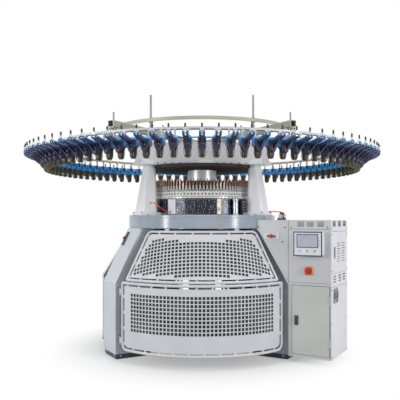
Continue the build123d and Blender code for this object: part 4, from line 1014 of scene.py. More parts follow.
def perforatedTree():
    # A grid of whole numbers becomes strips of bar and hole, with margins round them. Its rows
    # then narrow between the sides, and the sheet is bent round the axis. Each row of the table
    # names a result, its sum, and what goes in: an input, an earlier result or a number.
    tree, given = newTree("perforatedSheet", [
        ("Columns", "Int"), ("Rows", "Int"), ("Margin", "Int"), ("Pitch", "Float"), ("Hole", "Float"),
        ("First", "Float"), ("Height", "Float"), ("Half Low", "Float"), ("Half High", "Float"),
        ("Holes Low", "Float"), ("Holes High", "Float"), ("Plain Half", "Float"), ("Droop", "Float"),
        ("Lowest Hole", "Float"), ("Highest Hole", "Float"),
        ("Corner Low", "Float"), ("Corner High", "Float"), ("Radius Low", "Float"),
        ("Radius High", "Float"), ("Z Low", "Float"), ("Z High", "Float"), ("Finish", "Material"),
    ])
    leastEdge, weld = 0.006, 0.0002
    rows = []
    for way, count in (("X", "Columns"), ("Y", "Rows")):
        rows += [
            ("strips" + way, "MULTIPLY", count, 2.0),
            ("margins" + way, "MULTIPLY", "Margin", 2.0),
            ("lines" + way, "ADD", "strips" + way, "margins" + way),
            ("last" + way, "SUBTRACT", "strips" + way, 1.0),
            ("side" + way, "SUBTRACT", "lines" + way, 1.0),
            ("middle" + way, "MULTIPLY", "side" + way, 0.5),
            ("line" + way, "ADD", "grid" + way, "middle" + way),
            ("spot" + way, "SUBTRACT", "line" + way, "Margin"),
            # 1 where a line starts a hole of the punched part
            ("after" + way, "GREATER_THAN", "spot" + way, 0.0),
            ("before" + way, "LESS_THAN", "spot" + way, "last" + way),
            ("pair" + way, "MODULO", "spot" + way, 2.0),
            ("even" + way, "LESS_THAN", "pair" + way, 1.0),
            ("both" + way, "MULTIPLY", "after" + way, "before" + way),
            ("inside" + way, "MULTIPLY", "both" + way, "even" + way),
            # how far the line lies along the strips
            ("held" + way, "Clamp", "spot" + way, 0.0, "last" + way),
            ("cell" + way, "DIVIDE", "held" + way, 2.0),
            ("whole" + way, "FLOOR", "cell" + way),
            ("odd" + way, "MODULO", "held" + way, 2.0),
            ("across" + way, "MULTIPLY", "odd" + way, "Hole"),
            ("run" + way, "MULTIPLY_ADD", "whole" + way, "Pitch", "across" + way),
            # how far it lies into either margin, from 0 to 1
            ("under" + way, "SUBTRACT", 0.0, "spot" + way),
            ("over" + way, "SUBTRACT", "spot" + way, "last" + way),
            ("far" + way, "MAXIMUM", "under" + way, "over" + way),
            ("past" + way, "MAXIMUM", "far" + way, 0.0),
            ("share" + way, "DIVIDE", "past" + way, "Margin"),
        ]
    rows += [
        # the height of each row, sinking towards the sides where the sheet droops
        ("pitches", "SUBTRACT", "Columns", 1.0),
        ("punched", "MULTIPLY_ADD", "pitches", "Pitch", "Hole"),
        ("left", "MULTIPLY", "punched", -0.5),
        ("core", "ADD", "runX", "left"),
        ("flatRow", "ADD", "runY", "First"),
        ("bow", "MULTIPLY", "core", "core"),
        ("sunk", "MULTIPLY", "bow", "Droop"),
        ("row", "SUBTRACT", "flatRow", "sunk"),
        ("ceiling", "SUBTRACT", "Height", leastEdge),
        ("rise", "Clamp", "row", leastEdge, "ceiling"),
        ("upper", "GREATER_THAN", "overY", 0.0),
        ("target", "MULTIPLY", "upper", "Height"),
        ("gap", "SUBTRACT", "target", "rise"),
        ("height", "MULTIPLY_ADD", "gap", "shareY", "rise"),
        ("fromTop", "SUBTRACT", "Height", "height"),
        ("limit", "MapRange", "height", 0.0, "Height", "Half Low", "Half High"),
    ]
    limit = "limit"
    for end, distance in (("Low", "height"), ("High", "fromTop")):  # the round corners
        rows += [
            ("short" + end, "SUBTRACT", "Corner " + end, distance),
            ("into" + end, "MAXIMUM", "short" + end, 0.0),
            ("square" + end, "MULTIPLY", "into" + end, "into" + end),
            ("full" + end, "MULTIPLY", "Corner " + end, "Corner " + end),
            ("rest" + end, "SUBTRACT", "full" + end, "square" + end),
            ("root" + end, "SQRT", "rest" + end),
            ("cut" + end, "SUBTRACT", "Corner " + end, "root" + end),
            ("limit" + end, "SUBTRACT", limit, "cut" + end),
        ]
        limit = "limit" + end
    rows += [
        # the place along the arc, out to that limit, and the bend round the axis
        ("hand", "SIGN", "core"),
        ("reach", "ABSOLUTE", "core"),
        ("room", "SUBTRACT", limit, "reach"),
        ("spread", "MULTIPLY_ADD", "room", "shareX", "reach"),
        ("out", "MINIMUM", "spread", limit),
        ("arc", "MULTIPLY", "out", "hand"),
        ("radius", "MapRange", "height", 0.0, "Height", "Radius Low", "Radius High"),
        ("z", "MapRange", "height", 0.0, "Height", "Z Low", "Z High"),
        ("angle", "DIVIDE", "arc", "radius"),
        ("sine", "SINE", "angle"),
        ("cosine", "COSINE", "angle"),
        ("x", "MULTIPLY", "sine", "radius"),
        ("back", "MULTIPLY", "cosine", "radius"),
        ("y", "MULTIPLY", "back", -1.0),
        ("bent", "CombineXYZ", "x", "y", "z"),
        # which cells are punched out: inside the sloping limits, with a plain top middle
        ("bound", "MapRange", "rise", "First", "Height", "Holes Low", "Holes High"),
        ("near", "LESS_THAN", "reach", "bound"),
        ("central", "LESS_THAN", "reach", "Plain Half"),
        ("lowered", "MULTIPLY", "central", "Pitch"),
        ("top", "SUBTRACT", "Highest Hole", "lowered"),
        ("belowTop", "LESS_THAN", "row", "top"),
        ("aboveFoot", "GREATER_THAN", "row", "Lowest Hole"),
        ("level", "MULTIPLY", "belowTop", "aboveFoot"),
        ("cell", "MULTIPLY", "insideX", "insideY"),
        ("kept", "MULTIPLY", "near", "level"),
        ("punch", "MULTIPLY", "cell", "kept"),
    ]
    where = addNode(tree, "ShaderNodeSeparateXYZ", [addNode(tree, "GeometryNodeInputPosition")])
    made = {socket.name: socket for socket in given}
    made.update(gridX=where.outputs["X"], gridY=where.outputs["Y"])
    for result, kind, *inputs in rows:
        inputs = [made.get(item, item) for item in inputs]
        if kind.isupper():
            made[result] = addNode(tree, "ShaderNodeMath", inputs, operation=kind)
        else:
            made[result] = addNode(tree, "ShaderNode" + kind, inputs)
    grid = addNode(tree, "GeometryNodeMeshGrid", {
        "Size X": made["sideX"], "Size Y": made["sideY"],
        "Vertices X": made["linesX"], "Vertices Y": made["linesY"],
    })
    holed = addNode(
        tree, "GeometryNodeDeleteGeometry", {"Geometry": grid, "Selection": made["punch"]}, domain="FACE"
    )
    placed = addNode(tree, "GeometryNodeSetPosition", {"Geometry": holed, "Position": made["bent"]})
    merged = addNode(tree, "GeometryNodeMergeByDistance", {"Geometry": placed, "Distance": weld})
    return endTree(tree, merged, given["Finish"])


perforatedSheet = perforatedTree()
# Radii, heights and corners are given low and high. Counts and lengths are for the tree's inputs
# of the same names, and Droop is per metre.
gates = {
    "tube": 11, "gap": 12, "sheet": 2.0, "screen": 1.0, "tab": (16, 26, -1.6, 1.6),
    "tabPitch": 118, "cornerSteps": 6, "leastCorner": 8, "edgeStep": 40,
    "hinge": 890, "hingeAngle": 47.08, "hingeHeights": (170, 560),
    "knuckle": [(3, -20), (11, -20), (12, -18.5), (12, 18.5), (11, 20), (3, 20)],
    "hanger": (642, 646), "hangerHalf": 20, "hangerHeights": (1044, 1066), "hangerTurns": (-26, 26),
    "sides": {"front": (0, -1), "right": (120, 1), "left": (-120, -1)},
    "lower": {
        "radii": (886, 886), "heights": (90, 645), "half": 46.5, "corners": (60, 14),
        "screen": {"radii": (879, 879), "heights": (225, 580), "halves": (42.5, 42.5)},
        "counts": {"Columns": 40, "Rows": 10, "Margin": 8, "Droop": 0.0},
        "lengths": {
            "Pitch": 30.6, "Hole": 22.6, "First": 133, "Lowest Hole": -1000, "Highest Hole": 9000,
            "Holes Low": 900, "Holes High": 900, "Plain Half": 0, "Corner Low": 32, "Corner High": 4,
        },
    },
    "upper": {
        "radii": (886, 640), "heights": (651, 1049), "half": 43.5, "corners": (14, 60),
        "screen": {"radii": (846, 660), "heights": (700, 1000), "halves": (42, 40)},
        "counts": {"Columns": 40, "Rows": 15, "Margin": 8, "Droop": 0.3},
        "lengths": {
            "Pitch": 31.1, "Hole": 22.6, "First": 30, "Lowest Hole": 28, "Highest Hole": 357,
            "Holes Low": 595, "Holes High": 410, "Plain Half": 190, "Corner Low": 4, "Corner High": 32,
        },
    },
}
tubeInset = gates["tube"]
tabInset = 2 * gates["tube"] + gates["gap"] / 2
sheetInset = 2 * gates["tube"] + gates["gap"]


def between(pair, share):
    return pair[0] + share * (pair[1] - pair[0])


def slopeOf(level):
    (foot, head), (low, high) = level["radii"], level["heights"]
    return math.hypot(high - low, head - foot)


def gateOutline(level, inset):
    # a closed outline on the gate's bent face, as (angle, radius, height), with round corners
    wide, slope = math.radians(level["half"]) * level["radii"][0] - inset, slopeOf(level)
    flat = []
    for side, end, start in ((1, 0, -90), (1, 1, 0), (-1, 1, 90), (-1, 0, 180)):
        r = max(level["corners"][end] - inset, gates["leastCorner"])
        middle = (side * (wide - r), slope - inset - r if end else inset + r)
        for step in range(gates["cornerSteps"] + 1):
            turn = math.radians(start + step * 90 / gates["cornerSteps"])
            flat.append((middle[0] + r * math.cos(turn), middle[1] + r * math.sin(turn)))
    outline = []
    for here, after in zip(flat, flat[1:] + flat[:1]):
        steps = max(1, round(math.dist(here, after) / gates["edgeStep"]))
        for step in range(steps):
            along, up = [between(pair, step / steps) for pair in zip(here, after)]
            outline.append((along / level["radii"][0], between(level["radii"], up / slope),
                            between(level["heights"], up / slope)))
    return outline


def bendPoints(outline, station):
    turn = math.radians(station)
    return [Vector((r * math.sin(a + turn), -r * math.cos(a + turn), z)) * mm for a, r, z in outline]


def sheetMesh(levelName):
    # the level's punched sheet, at the front
    level = gates[levelName]
    slope = slopeOf(level)
    sizes = {key: length * mm for key, length in level["lengths"].items()}
    sizes.update(level["counts"], Height=(slope - 2 * sheetInset) * mm, Finish=gateCoat)
    for end, share in (("Low", sheetInset / slope), ("High", 1 - sheetInset / slope)):
        radius = between(level["radii"], share)
        sizes["Radius " + end] = radius * mm
        sizes["Half " + end] = (math.radians(level["half"]) * radius - sheetInset) * mm
        sizes["Z " + end] = between(level["heights"], share) * mm
    return grow(levelName + "Sheet", perforatedSheet, sizes)


def thicken(target, thickness):
    # gives a bent sheet its thickness and makes the result plain
    wall = target.modifiers.new("wall", "SOLIDIFY")
    wall.thickness = thickness * mm
    wall.offset = 0
    bpy.context.view_layer.update()
    mesh = bpy.data.meshes.new_from_object(target.evaluated_get(bpy.context.evaluated_depsgraph_get()))
    target.modifiers.clear()
    target.data = mesh
    mesh.set_sharp_from_angle(angle=crispEdge)


def hangSheet(name, levelName, station, body="frame"):
    mesh = sheets[levelName].copy()
    mesh.transform(Matrix.Rotation(math.radians(station), 4, "Z"))
    thicken(keep(name, mesh, gateCoat, body), gates["sheet"])


def hangShadeScreen(name, levelName, station, body="frame", steps=24):
    # a bent dark sheet close behind the punched part of a sheet: painted shade seen through its holes
    screen = gates[levelName]["screen"]
    bm = startMesh()
    rows = []
    for r, z, half in zip(screen["radii"], screen["heights"], screen["halves"]):
        turns = [math.radians(station - half + 2 * half * step / steps) for step in range(steps + 1)]
        rows.append([bm.verts.new((r * math.sin(a) * mm, -r * math.cos(a) * mm, z * mm)) for a in turns])
    for step in range(steps):
        bm.faces.new((rows[0][step], rows[0][step + 1], rows[1][step + 1], rows[1][step]))
    thicken(keep(name, toMesh(name, bm), paintedShadeCloth, body), gates["screen"])


def tabPlaces(outline, station):
    # points midway between the tube frame and the sheet, a set distance apart
    ring = bendPoints(outline, station)
    places, walked = [], 0.0
    for here, after in zip(ring, ring[1:] + ring[:1]):
        walked += (after - here).length
        if walked > gates["tabPitch"] * mm:
            walked = 0.0
            places.append((after, Vector((after.x, after.y, 0))))
    return places


outlines = {levelName: gateOutline(gates[levelName], tubeInset) for levelName in ("lower", "upper")}
tabOutlines = {levelName: gateOutline(gates[levelName], tabInset) for levelName in ("lower", "upper")}
sheets = {}
for levelName in ("lower", "upper"):
    sheets[levelName] = sheetMesh(levelName)
    print(levelName, "sheet faces", len(sheets[levelName].polygons))
upperRings, upperTabs = [], []
for gateName, (station, side) in gates["sides"].items():
    body = gateName + "_gate"
    ring = bendPoints(outlines["lower"], station)
    tubes(gateName + "GateTube", [ring + ring[:1]], gates["tube"], gateCoat, body,
          (gateName + "_lower_gate",), sides=16)
    hangSheet(gateName + "GateSheet", "lower", station, body)
    hangShadeScreen(gateName + "GateScreen", "lower", station, body)
    hangShadeScreen(gateName + "UpperScreen", "upper", station)
    onPoints(gateName + "GateTabs", flatUnit(*gates["tab"]), tabPlaces(tabOutlines["lower"], station),
             gateCoat, body)
    bm = startMesh()
    hinge = station + side * gates["hingeAngle"]
    for z in gates["hingeHeights"]:
        addTurned(bm, gates["knuckle"], at(gates["hinge"], 0, z, hinge), count=24)
    piece(gateName + "GateKnuckles", bm, gateCoat, "gate_paint", body)
    ring = bendPoints(outlines["upper"], station)
    upperRings.append(ring + ring[:1])
    upperTabs += tabPlaces(tabOutlines["upper"], station)
    hangSheet(gateName + "UpperSheet", "upper", station)
tubes("upperGateTubes", upperRings, gates["tube"], gateCoat, "frame", ("upper_gates",),
      sides=16)
onPoints("upperGateTabs", flatUnit(*gates["tab"]), upperTabs, gateCoat)
bm = startMesh()
for station, side in gates["sides"].values():
    for turn in gates["hangerTurns"]:
        addBlock(bm, gates["hanger"], (-gates["hangerHalf"], gates["hangerHalf"]), gates["hangerHeights"],
                 station + turn)
piece("upperGateHangers", bm, gateCoat, "gate_paint", bevel=1.0)
bevelledCopy("gateHingeLugs", "gate_hinge_lugs", zincSteel, 1.0)
print("gates ready")

# Motor cover

cover = {"front": -195, "screws": ((648, 1078), (882, 1076), (861, 961), (790, 740))}
bevelledCopy("motorCover", "motor_cover", cabinetCoat, 1.0)
screws("coverScrews", 6, 3, [
    (at(u, cover["front"], z, rightLeg), toward(0, -1, 0, rightLeg)) for u, z in cover["screws"]
])

# Control cabinet: its shell, the louvres in front, and the vents and slots of its side panel

cabinet = {
    "front": -195, "side": 1260, "skin": 1.0, "skinSpan": (-192, 242), "skinHeights": (53, 1133),
    "louvres": ((988, 1042), (1066, 1120), (1150, 1204)), "louvreHeights": (1085, 1128), "louvreRows": 5,
    "louvreWidth": 54, "louvreShare": 0.62, "louvreDepth": 3.2, "louvreGapWidth": 53, "louvreDrop": 0.28,
    "vents": (0, 132), "ventHeights": (802, 967), "ventRows": 8,
    "ventWidth": 84, "ventShare": 0.5, "ventDepth": 3.0, "ventGap": (80, 8), "ventDrop": 0.22,
    "topVents": (-120, 20, 165), "topVentHeights": (1089, 1100, 1111, 1122),
    "slots": (-105, 30, 150), "slotHeights": (641, 704), "slotRows": 3, "slot": (60, 9),
    "gapDepth": (-0.4, 0.35),
    "frontScrews": (936, 1232), "frontScrewHeight": 1077,
    "sideScrews": (-180, 230), "sideScrewHeights": (70, 330, 590, 740, 1020, 1070),
}
bevelledCopy("cabinetShell", "control_cabinet", cabinetCoat, 1.2)
front, flank = toward(0, -1, 0, rightLeg), toward(1, 0, 0, rightLeg)
face, skin = cabinet["front"], cabinet["side"]


def onFront(u, z):
    return at(u, face, z, rightLeg), front


def onSide(t, z):
    return at(skin + cabinet["skin"], t, z, rightLeg), flank


def louvre(width, height, depth):
    # a pressed slat: flush at its top edge and standing out at its lower one
    bm = startMesh()
    w, h = width / 2, height / 2
    section = ((h, -0.5), (h, 0.2), (-h * 0.4, depth), (-h * 0.6, depth), (-h * 0.6, -0.5))
    addLoops(bm, [[Vector((x * mm, y * mm, z * mm)) for y, z in section] for x in (-w, w)])
    return bm


def rowHeights(heights, count):
    # the middles of so many rows between two heights, and their pitch
    pitch = (heights[1] - heights[0]) / count
    return [heights[0] + (row + 0.5) * pitch for row in range(count)], pitch


def addFrame(bm, outer, inner, outs, plane):
    # a flat frame before a plane of the cabinet: outer and inner hold two (u, z) corners each, and
    # outs say how far the outer outline starts and ends from the plane, then the inner one
    loops = []
    for ((u0, z0), (u1, z1)), out in zip((outer, outer, inner, inner), outs):
        ring = ((u0, z0), (u1, z0), (u1, z1), (u0, z1))
        loops.append([at(u, plane - out, z, rightLeg) for u, z in ring])
    addLoops(bm, loops, closed=True)


rows, step = rowHeights(cabinet["louvreHeights"], cabinet["louvreRows"])
tall, drop = step * cabinet["louvreShare"], step * cabinet["louvreDrop"]
spots = [((start + end) / 2, z) for start, end in cabinet["louvres"] for z in rows]
onPoints("frontLouvres", louvre(cabinet["louvreWidth"], tall, cabinet["louvreDepth"]),
         [onFront(u, z) for u, z in spots], cabinetCoat)
onPoints("frontLouvreGaps", flatUnit(cabinet["louvreGapWidth"], tall, *cabinet["gapDepth"]),
         [onFront(u, z - drop) for u, z in spots], shadowGap)
rows, step = rowHeights(cabinet["ventHeights"], cabinet["ventRows"])
tall, drop = step * cabinet["ventShare"], step * cabinet["ventDrop"]
spots = [(t, z) for t in cabinet["vents"] for z in rows]
onPoints("sideLouvres", louvre(cabinet["ventWidth"], tall, cabinet["ventDepth"]),
         [onSide(t, z) for t, z in spots], cabinetLitSideCoat)
spots = [(t, z - drop) for t, z in spots]
spots += [(t, z) for t in cabinet["topVents"] for z in cabinet["topVentHeights"]]
onPoints("sideLouvreGaps", flatUnit(*cabinet["ventGap"], *cabinet["gapDepth"]),
         [onSide(t, z) for t, z in spots], shadowGap)
rows, step = rowHeights(cabinet["slotHeights"], cabinet["slotRows"])
onPoints("sideSlots", flatUnit(*cabinet["slot"], *cabinet["gapDepth"]),
         [onSide(t, z) for t in cabinet["slots"] for z in rows], shadowGap)
# a thin skin over the side panel that carries its paler coat, painted light
blockPiece("cabinetSideSkin", (skin + 0.05, skin + cabinet["skin"]), cabinet["skinSpan"],
           cabinet["skinHeights"], rightLeg, cabinetLitSideCoat, "cabinet_paint", 0.3)

# Seams between the cabinet's panels, one of them wavy, and its screws
seams = {
    "side": (((-190, 240), (1045, 1047.5)), ((-180, 230), (612, 614))), "sideOut": (0.9, 1.3),
    "wave": {"start": -190, "length": 430, "steps": 44, "height": 719, "swing": 5, "turn": 0.5,
             "half": 1},
    "front": (((912, 1258), 0.6, (1062, 1064.5)), ((909.0, 911.4), 0.7, (642, 1134)),
              ((912, 1258), 0.6, (640, 642))),
}
bm = startMesh()
outs = [skin + out for out in seams["sideOut"]]
for span, heights in seams["side"]:
    addBlock(bm, outs, span, heights, rightLeg)
wave = seams["wave"]
half = wave["half"]
crests = []
for i in range(wave["steps"] + 1):
    along = wave["start"] + i * wave["length"] / wave["steps"]
    crests.append((along, wave["height"] + wave["swing"] * math.sin(i * wave["turn"])))
for (t0, z0), (t1, z1) in zip(crests, crests[1:]):
    ring = ((t0, z0 - half), (t1, z1 - half), (t1, z1 + half), (t0, z0 + half))
    addLoops(bm, [[at(u, t, z, rightLeg) for t, z in ring] for u in outs])
for span, out, heights in seams["front"]:
    addBlock(bm, span, (face - out, face), heights, rightLeg)
piece("cabinetSeams", bm, shadowGap, "cabinet_paint")
places = [onFront(u, cabinet["frontScrewHeight"]) for u in cabinet["frontScrews"]]
places += [onSide(t, z) for t in cabinet["sideScrews"] for z in cabinet["sideScrewHeights"]]
screws("cabinetScrews", 5, 2.5, places)

# Recessed pull on the side panel: a rim, and a dark block in its slot that is painted shade of the recess
pull = {"rim": ((0.8, 3.0), (-118, -92), (834, 924)), "slot": ((2.6, 3.6), (-110, -100), (842, 916))}
for name, part, coat, bevel in (("sidePullRim", "rim", blackNylon, 1.2),
                                ("sidePullSlot", "slot", darkSteel, 0.3)):
    outs, span, heights = pull[part]
    outs = [skin + out for out in outs]
    blockPiece(name, outs, span, heights, rightLeg, coat, "cabinet_paint", bevel)

# Fan guard: wire rings and spokes over the fan opening, with four screws
guard = {"t": -81, "z": 542, "rings": (14, 26, 38, 50, 60), "ringOut": 5.0, "wire": 1.3, "screw": 52.5,
         "spokes": (45, 135, 225, 315), "spoke": ((10, 3.2), (62, 3.2), (73, 1.6)), "surround": (60, 66)}


def guardPoint(radius, degrees, out):
    turn = math.radians(degrees)
    t, z = guard["t"] + radius * math.cos(turn), guard["z"] + radius * math.sin(turn)
    return at(skin + out, t, z, rightLeg)


paths = []
for radius in guard["rings"]:
    ring = [guardPoint(radius, i * 10, guard["ringOut"]) for i in range(36)]
    paths.append(ring + ring[:1])
for degrees in guard["spokes"]:
    paths.append([guardPoint(radius, degrees, out) for radius, out in guard["spoke"]])
tubes("fanGuard", paths, guard["wire"], darkSteel, sides=8)
bm = startMesh()
inner, outer = guard["surround"]
addLoops(bm, [[guardPoint(radius, i * 9, out) for i in range(40)]
              for radius, out in ((outer, 0.9), (outer, 2.4), (inner, 2.4), (inner, 0.9))], closed=True)
piece("fanSurround", bm, cabinetLitSideCoat, "cabinet_paint")
screws("fanScrews", 4.5, 3, [
    onSide(guard["t"] + a, guard["z"] + b)
    for a in (-guard["screw"], guard["screw"]) for b in (-guard["screw"], guard["screw"])
])
recoat("fan_frame", fanBlack)
recoat("fan_rotor", fanBlack)
recoat("electrics_plate", electricGrey)
print("cover and cabinet ready")

# Door with its latch surround and paddle; the surround's hole lets the paddle's top swing up

latch = {"outer": ((966.5, 304.5), (993.5, 381.5)), "hole": ((969.2, 312), (990.8, 379.3)),
         "outs": (3.0, 12, 12, 3.0)}
bevelledCopy("cabinetDoor", "cabinet_door", doorCoat, 0.8, body="door")
bm = startMesh()
addFrame(bm, latch["outer"], latch["hole"], latch["outs"], face)
piece("latchSurround", bm, blackNylon, "knob_red", "door", bevel=0.8)
bevelledCopy("doorPaddle", "door_paddle", blackNylon, 1.5, body="paddle")

# Display: white face and rim, glass panel and three plain round keys

display = {
    "front": -260, "rim": ((977.4, 853.4), (1208.6, 1046.6)), "window": ((986, 863), (1201, 1037)),
    "rimOuts": (-9, 1.2, 1.8, -9), "face": ((987, 1201), (866, 1036), (-1, 1.4)),
    "bezel": ((1005, 1180), (920, 1027), (1.2, 2.2)), "glass": ((1012, 1173), (927, 1020), (2.0, 2.9)),
    "keys": (1031, 1092, 1153), "keyHeight": 897,
    "key": [(0.01, 1.2), (13, 1.2), (13, 2.4), (12, 3.0), (0.01, 3.0)],
    "marks": (998, 1188), "markHeights": (940, 958, 976, 994), "mark": (3, 5), "markOuts": (1.9, 1.0),
}
panel = display["front"]
bevelledCopy("displayCase", "display_unit", displayAbs, 2.5, 3)
bm = startMesh()
addFrame(bm, display["rim"], display["window"], display["rimOuts"], panel)
piece("displayRimFrame", bm, displayRim, "display_plastic", bevel=1.0)
for name, part, coat, bevel in (("displayFace", "face", displayAbs, 1.0),
                                ("displayBezel", "bezel", displayRim, 0.6),
                                ("displayGlass", "glass", panelGlass, 0.5)):
    span, heights, (low, high) = display[part]
    outs = (panel - high, panel - low)
    blockPiece(name, span, outs, heights, rightLeg, coat, "display_plastic", bevel)


def addKey(bm, u, profile, count, closed=False):
    addTurned(bm, profile, at(u, panel, display["keyHeight"], rightLeg), front, count, closed)


keys, keyRings, marks, blueKey = [startMesh() for part in range(4)]
for u in display["keys"]:
    addKey(keys, u, display["key"], 28)
    addKey(keyRings, u, flatRing((8.0, 9.6), (2.8, 3.5)), 28, True)
addKey(marks, display["keys"][1], flatRing((0.01, 4.5), (2.8, 3.6)), 16)
half, tall = display["mark"]
outs = [panel - out for out in display["markOuts"]]
for z in display["markHeights"]:
    for u in display["marks"]:
        addBlock(marks, (u - half, u + half), outs, (z, z + tall), rightLeg)
addKey(blueKey, display["keys"][2], flatRing((0.01, 7.5), (2.8, 3.6)), 4)
for name, bm, material in (("displayKeys", keys, displayAbs), ("displayKeyRings", keyRings, iconInk),
                           ("displayMarks", marks, iconInk), ("displayKeyBlue", blueKey, coverBlue)):
    piece(name, bm, material, "display_plastic")

# Main switch and knob

switch = {"u": 1082, "z": 737, "plateFace": -209, "screw": 26,
          "collar": [(25.5, 13.5), (29, 13.5), (29, 15.2), (25.5, 16)]}
bevelledCopy("switchPlate", "switch_plate", switchYellow, 2.0, 3)
bevelledCopy("switchKnob", "main_switch", knobRed, 1.5, 3, body="switch_knob")
bm = startMesh()
addTurned(bm, switch["collar"], at(switch["u"], face, switch["z"], rightLeg), front, 40)
piece("switchCollar", bm, blackNylon, "switch_yellow")
screws("switchScrews", 3, 1.5, [
    (at(switch["u"] + a, switch["plateFace"], switch["z"] + b, rightLeg), front)
    for a in (-switch["screw"], switch["screw"]) for b in (-switch["screw"], switch["screw"])
])

# Button strips: the plates, zinc collars and the buttons on their own bodies. The left strip
# follows the slope of its leg, which rises from low to high as (u, z).

buttons = {
    "jobs": {"inch": (buttonBlack, "button_black"), "stop": (buttonRed, "button_red"),
             "run": (buttonGreen, "button_green")},
    "pitch": 30, "right": (770, -203, 1005), "left": (-75, 975), "proud": 8,
    "low": (890, 620), "high": (667, 1066),
    "stopHead": [(8, 9), (15.5, 9), (16.5, 11), (16.5, 15), (13, 17.5), (0.01, 18.5), (0.01, 9)],
    "collar": [(11.6, -0.5), (14.2, -0.5), (14.2, 1.4), (13.2, 2.2), (11.6, 2.2)],
}
for stripName, side, coat, slotName in (("rightStrip", 1, stripWhite, "panel_white"),
                                        ("leftStrip", -1, fanBlack, "regulator_plastic")):
    piece(stripName, mergedSolid("button_panels", side), coat, slotName,
          replaced=("button_panels",), bevel=1.2)


def buttonPlace(hand, step):
    # where a button's collar sits and the way it faces; step is -1, 0 or 1 along the strip
    shift = step * buttons["pitch"]
    if hand == "right":
        u, t, z = buttons["right"]
        return at(u + shift, t, z, rightLeg), front
    (lowU, lowZ), (highU, highZ), (t, z) = buttons["low"], buttons["high"], buttons["left"]
    run, rise = lowU - highU, highZ - lowZ
    facing, along = toward(rise, 0, run, leftLeg), toward(-run, 0, rise, leftLeg)
    foot = at(lowU - (z - lowZ) / rise * run, t, z, leftLeg)
    return foot + facing * buttons["proud"] * mm + along * shift * mm, facing


collars = []
for hand in ("right", "left"):
    for step, (job, (coat, slotName)) in enumerate(buttons["jobs"].items(), -1):
        bevelledCopy(hand + job.capitalize() + "Button", f"{hand}_{job}_button", coat, 1.2, 3,
                     body=f"{hand}_{job}")
        foot, facing = buttonPlace(hand, step)
        collars.append((foot, facing))
        if job == "stop":
            bm = startMesh()
            addTurned(bm, buttons["stopHead"], foot, facing, 28)
            piece(hand + "StopHead", bm, coat, slotName, f"{hand}_stop")
bm = startMesh()
addTurned(bm, buttons["collar"], count=24)
onPoints("buttonCollars", bm, collars, zincSteel)
print("door, display, switch and buttons ready")

# Air regulator with its knob and gauge, and the brass fittings

regulator = {
    "u": 826, "t": -124, "gauge": (826, -144, 1166),
    "knob": [(0.01, 1180), (16, 1180), (17, 1182), (17, 1196), (15, 1199), (0.01, 1199)],
    "case": [(0.01, 0), (17, 0), (18, 2), (18, 10), (16, 12), (15, 12), (15, 10.5), (0.01, 10.5)],
    "dial": flatRing((0.01, 14.6), (10.4, 11.2)), "needle": ((-1, 1), (-11.8, -11.2), (-2, 12)),
}
bevelledCopy("airRegulator", "air_regulator", blackNylon, 2.0)
bm = startMesh()
addTurned(bm, regulator["knob"], at(regulator["u"], regulator["t"], 0, rightLeg), count=20, closed=False)
piece("regulatorKnob", bm, blackNylon, "regulator_plastic", bevel=0.8)
gaugePlace = at(*regulator["gauge"], rightLeg)
bm = startMesh()
addTurned(bm, regulator["case"], gaugePlace, front, 28, False)
piece("regulatorGauge", bm, zincSteel, "regulator_plastic")
bm = startMesh()
addTurned(bm, regulator["dial"], gaugePlace, front, 24, False)
piece("gaugeDial", bm, electricGrey, "regulator_plastic")
needle = [[middle + end for end in ends] for middle, ends in zip(regulator["gauge"], regulator["needle"])]
blockPiece("gaugeNeedle", *needle, rightLeg, knobRed, "regulator_plastic")
bevelledCopy("hoseFittings", "hose_fittings", fittingBrass, 1.5)
print("air line ready")

# Floor, world and lights. The eye and the metal see a white studio; the object is lit by less.

studio = {  # in metres and watts
    "floorColor": "#A6A6A8", "seenColor": "#F4F4F5", "roughness": 0.7, "shadowArea": (0.85, 1.45),
    "shadowShare": 0.35, "worldLevel": 0.42, "aim": (0, 0, 0.95),
    "lamps": {
        "leftStrip": {"place": (-4.23, -3.19, 1.9), "size": (0.7, 2.6), "power": 100},
        "rightStrip": {"place": (3.94, -3.55, 1.9), "size": (0.7, 2.6), "power": 100},
        "topLamp": {"place": (0.0, -0.6, 5.4), "size": (3.4, 3.4), "power": 70},
    },
}


def seenRays(tree, kinds=("Is Camera Ray", "Is Glossy Ray")):
    # 1 for a ray of one of these kinds, 0 for the light that falls on the machine
    ray = addNode(tree, "ShaderNodeLightPath").outputs
    seen = ray[kinds[0]]
    for kind in kinds[1:]:
        seen = addNode(tree, "ShaderNodeMath", [seen, ray[kind]], operation="MAXIMUM")
    return seen


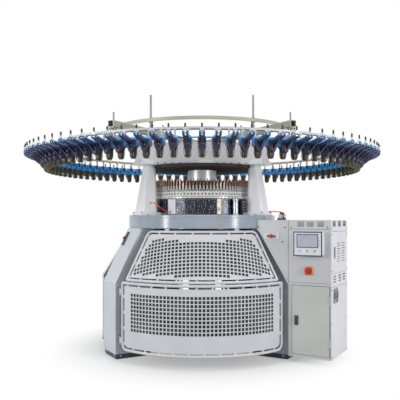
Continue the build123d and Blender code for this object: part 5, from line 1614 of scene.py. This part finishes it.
floorMesh = toMesh("floor", flatUnit(80000, 80000, -20, 0))
floor = bpy.data.objects.new("floor", floorMesh)
bpy.context.scene.collection.objects.link(floor)
floorMaterial = bpy.data.materials.new("paleFloor")
floorMaterial.use_nodes = True
tree = floorMaterial.node_tree
tree.nodes.clear()
seen = seenRays(tree)
place = addNode(tree, "ShaderNodeTexCoord").outputs["Object"]
far = addNode(tree, "ShaderNodeVectorMath", [place], operation="LENGTH").outputs["Value"]
fade = addNode(
    tree, "ShaderNodeMapRange", [far, *studio["shadowArea"], studio["shadowShare"], 1.0],
    interpolation_type="SMOOTHSTEP",
)
share = addNode(tree, "ShaderNodeMath", [seen, fade], operation="MULTIPLY")
pale = addNode(
    tree, "ShaderNodeMix", {0: seen, 6: linear(studio["floorColor"]), 7: linear(studio["seenColor"])},
    data_type="RGBA",
)
matt = addNode(
    tree, "ShaderNodeBsdfPrincipled", {"Base Color": pale.outputs[2], "Roughness": studio["roughness"]}
)
white = addNode(tree, "ShaderNodeEmission", {"Color": (1, 1, 1, 1), "Strength": 1.0})
mixed = addNode(tree, "ShaderNodeMixShader", [share, matt, white])
addNode(tree, "ShaderNodeOutputMaterial", {"Surface": mixed})
floorMesh.materials.append(floorMaterial)

world = bpy.data.worlds.new("studio")
bpy.context.scene.world = world
world.use_nodes = True
tree = world.node_tree
tree.nodes.clear()
seen = seenRays(tree, ("Is Camera Ray", "Is Glossy Ray", "Is Transmission Ray"))
level = addNode(tree, "ShaderNodeMapRange", [seen, 0.0, 1.0, studio["worldLevel"], 1.0])
sky = addNode(tree, "ShaderNodeBackground", {"Color": (1, 1, 1, 1), "Strength": level})
addNode(tree, "ShaderNodeOutputWorld", {"Surface": sky})

for lampName, lamp in studio["lamps"].items():
    light = bpy.data.lights.new(lampName, "AREA")
    light.shape = "RECTANGLE"
    light.size, light.size_y = lamp["size"]
    light.energy = lamp["power"]
    holder = bpy.data.objects.new(lampName, light)
    bpy.context.scene.collection.objects.link(holder)
    holder.location = lamp["place"]
    aim = Vector(studio["aim"]) - Vector(lamp["place"])
    holder.rotation_euler = aim.to_track_quat("-Z", "Y").to_euler()

bpy.context.scene.view_settings.view_transform = "Standard"


def corners(box):
    return [list(corner) for corner in box]


bpy.context.view_layer.update()
print("scene ready")
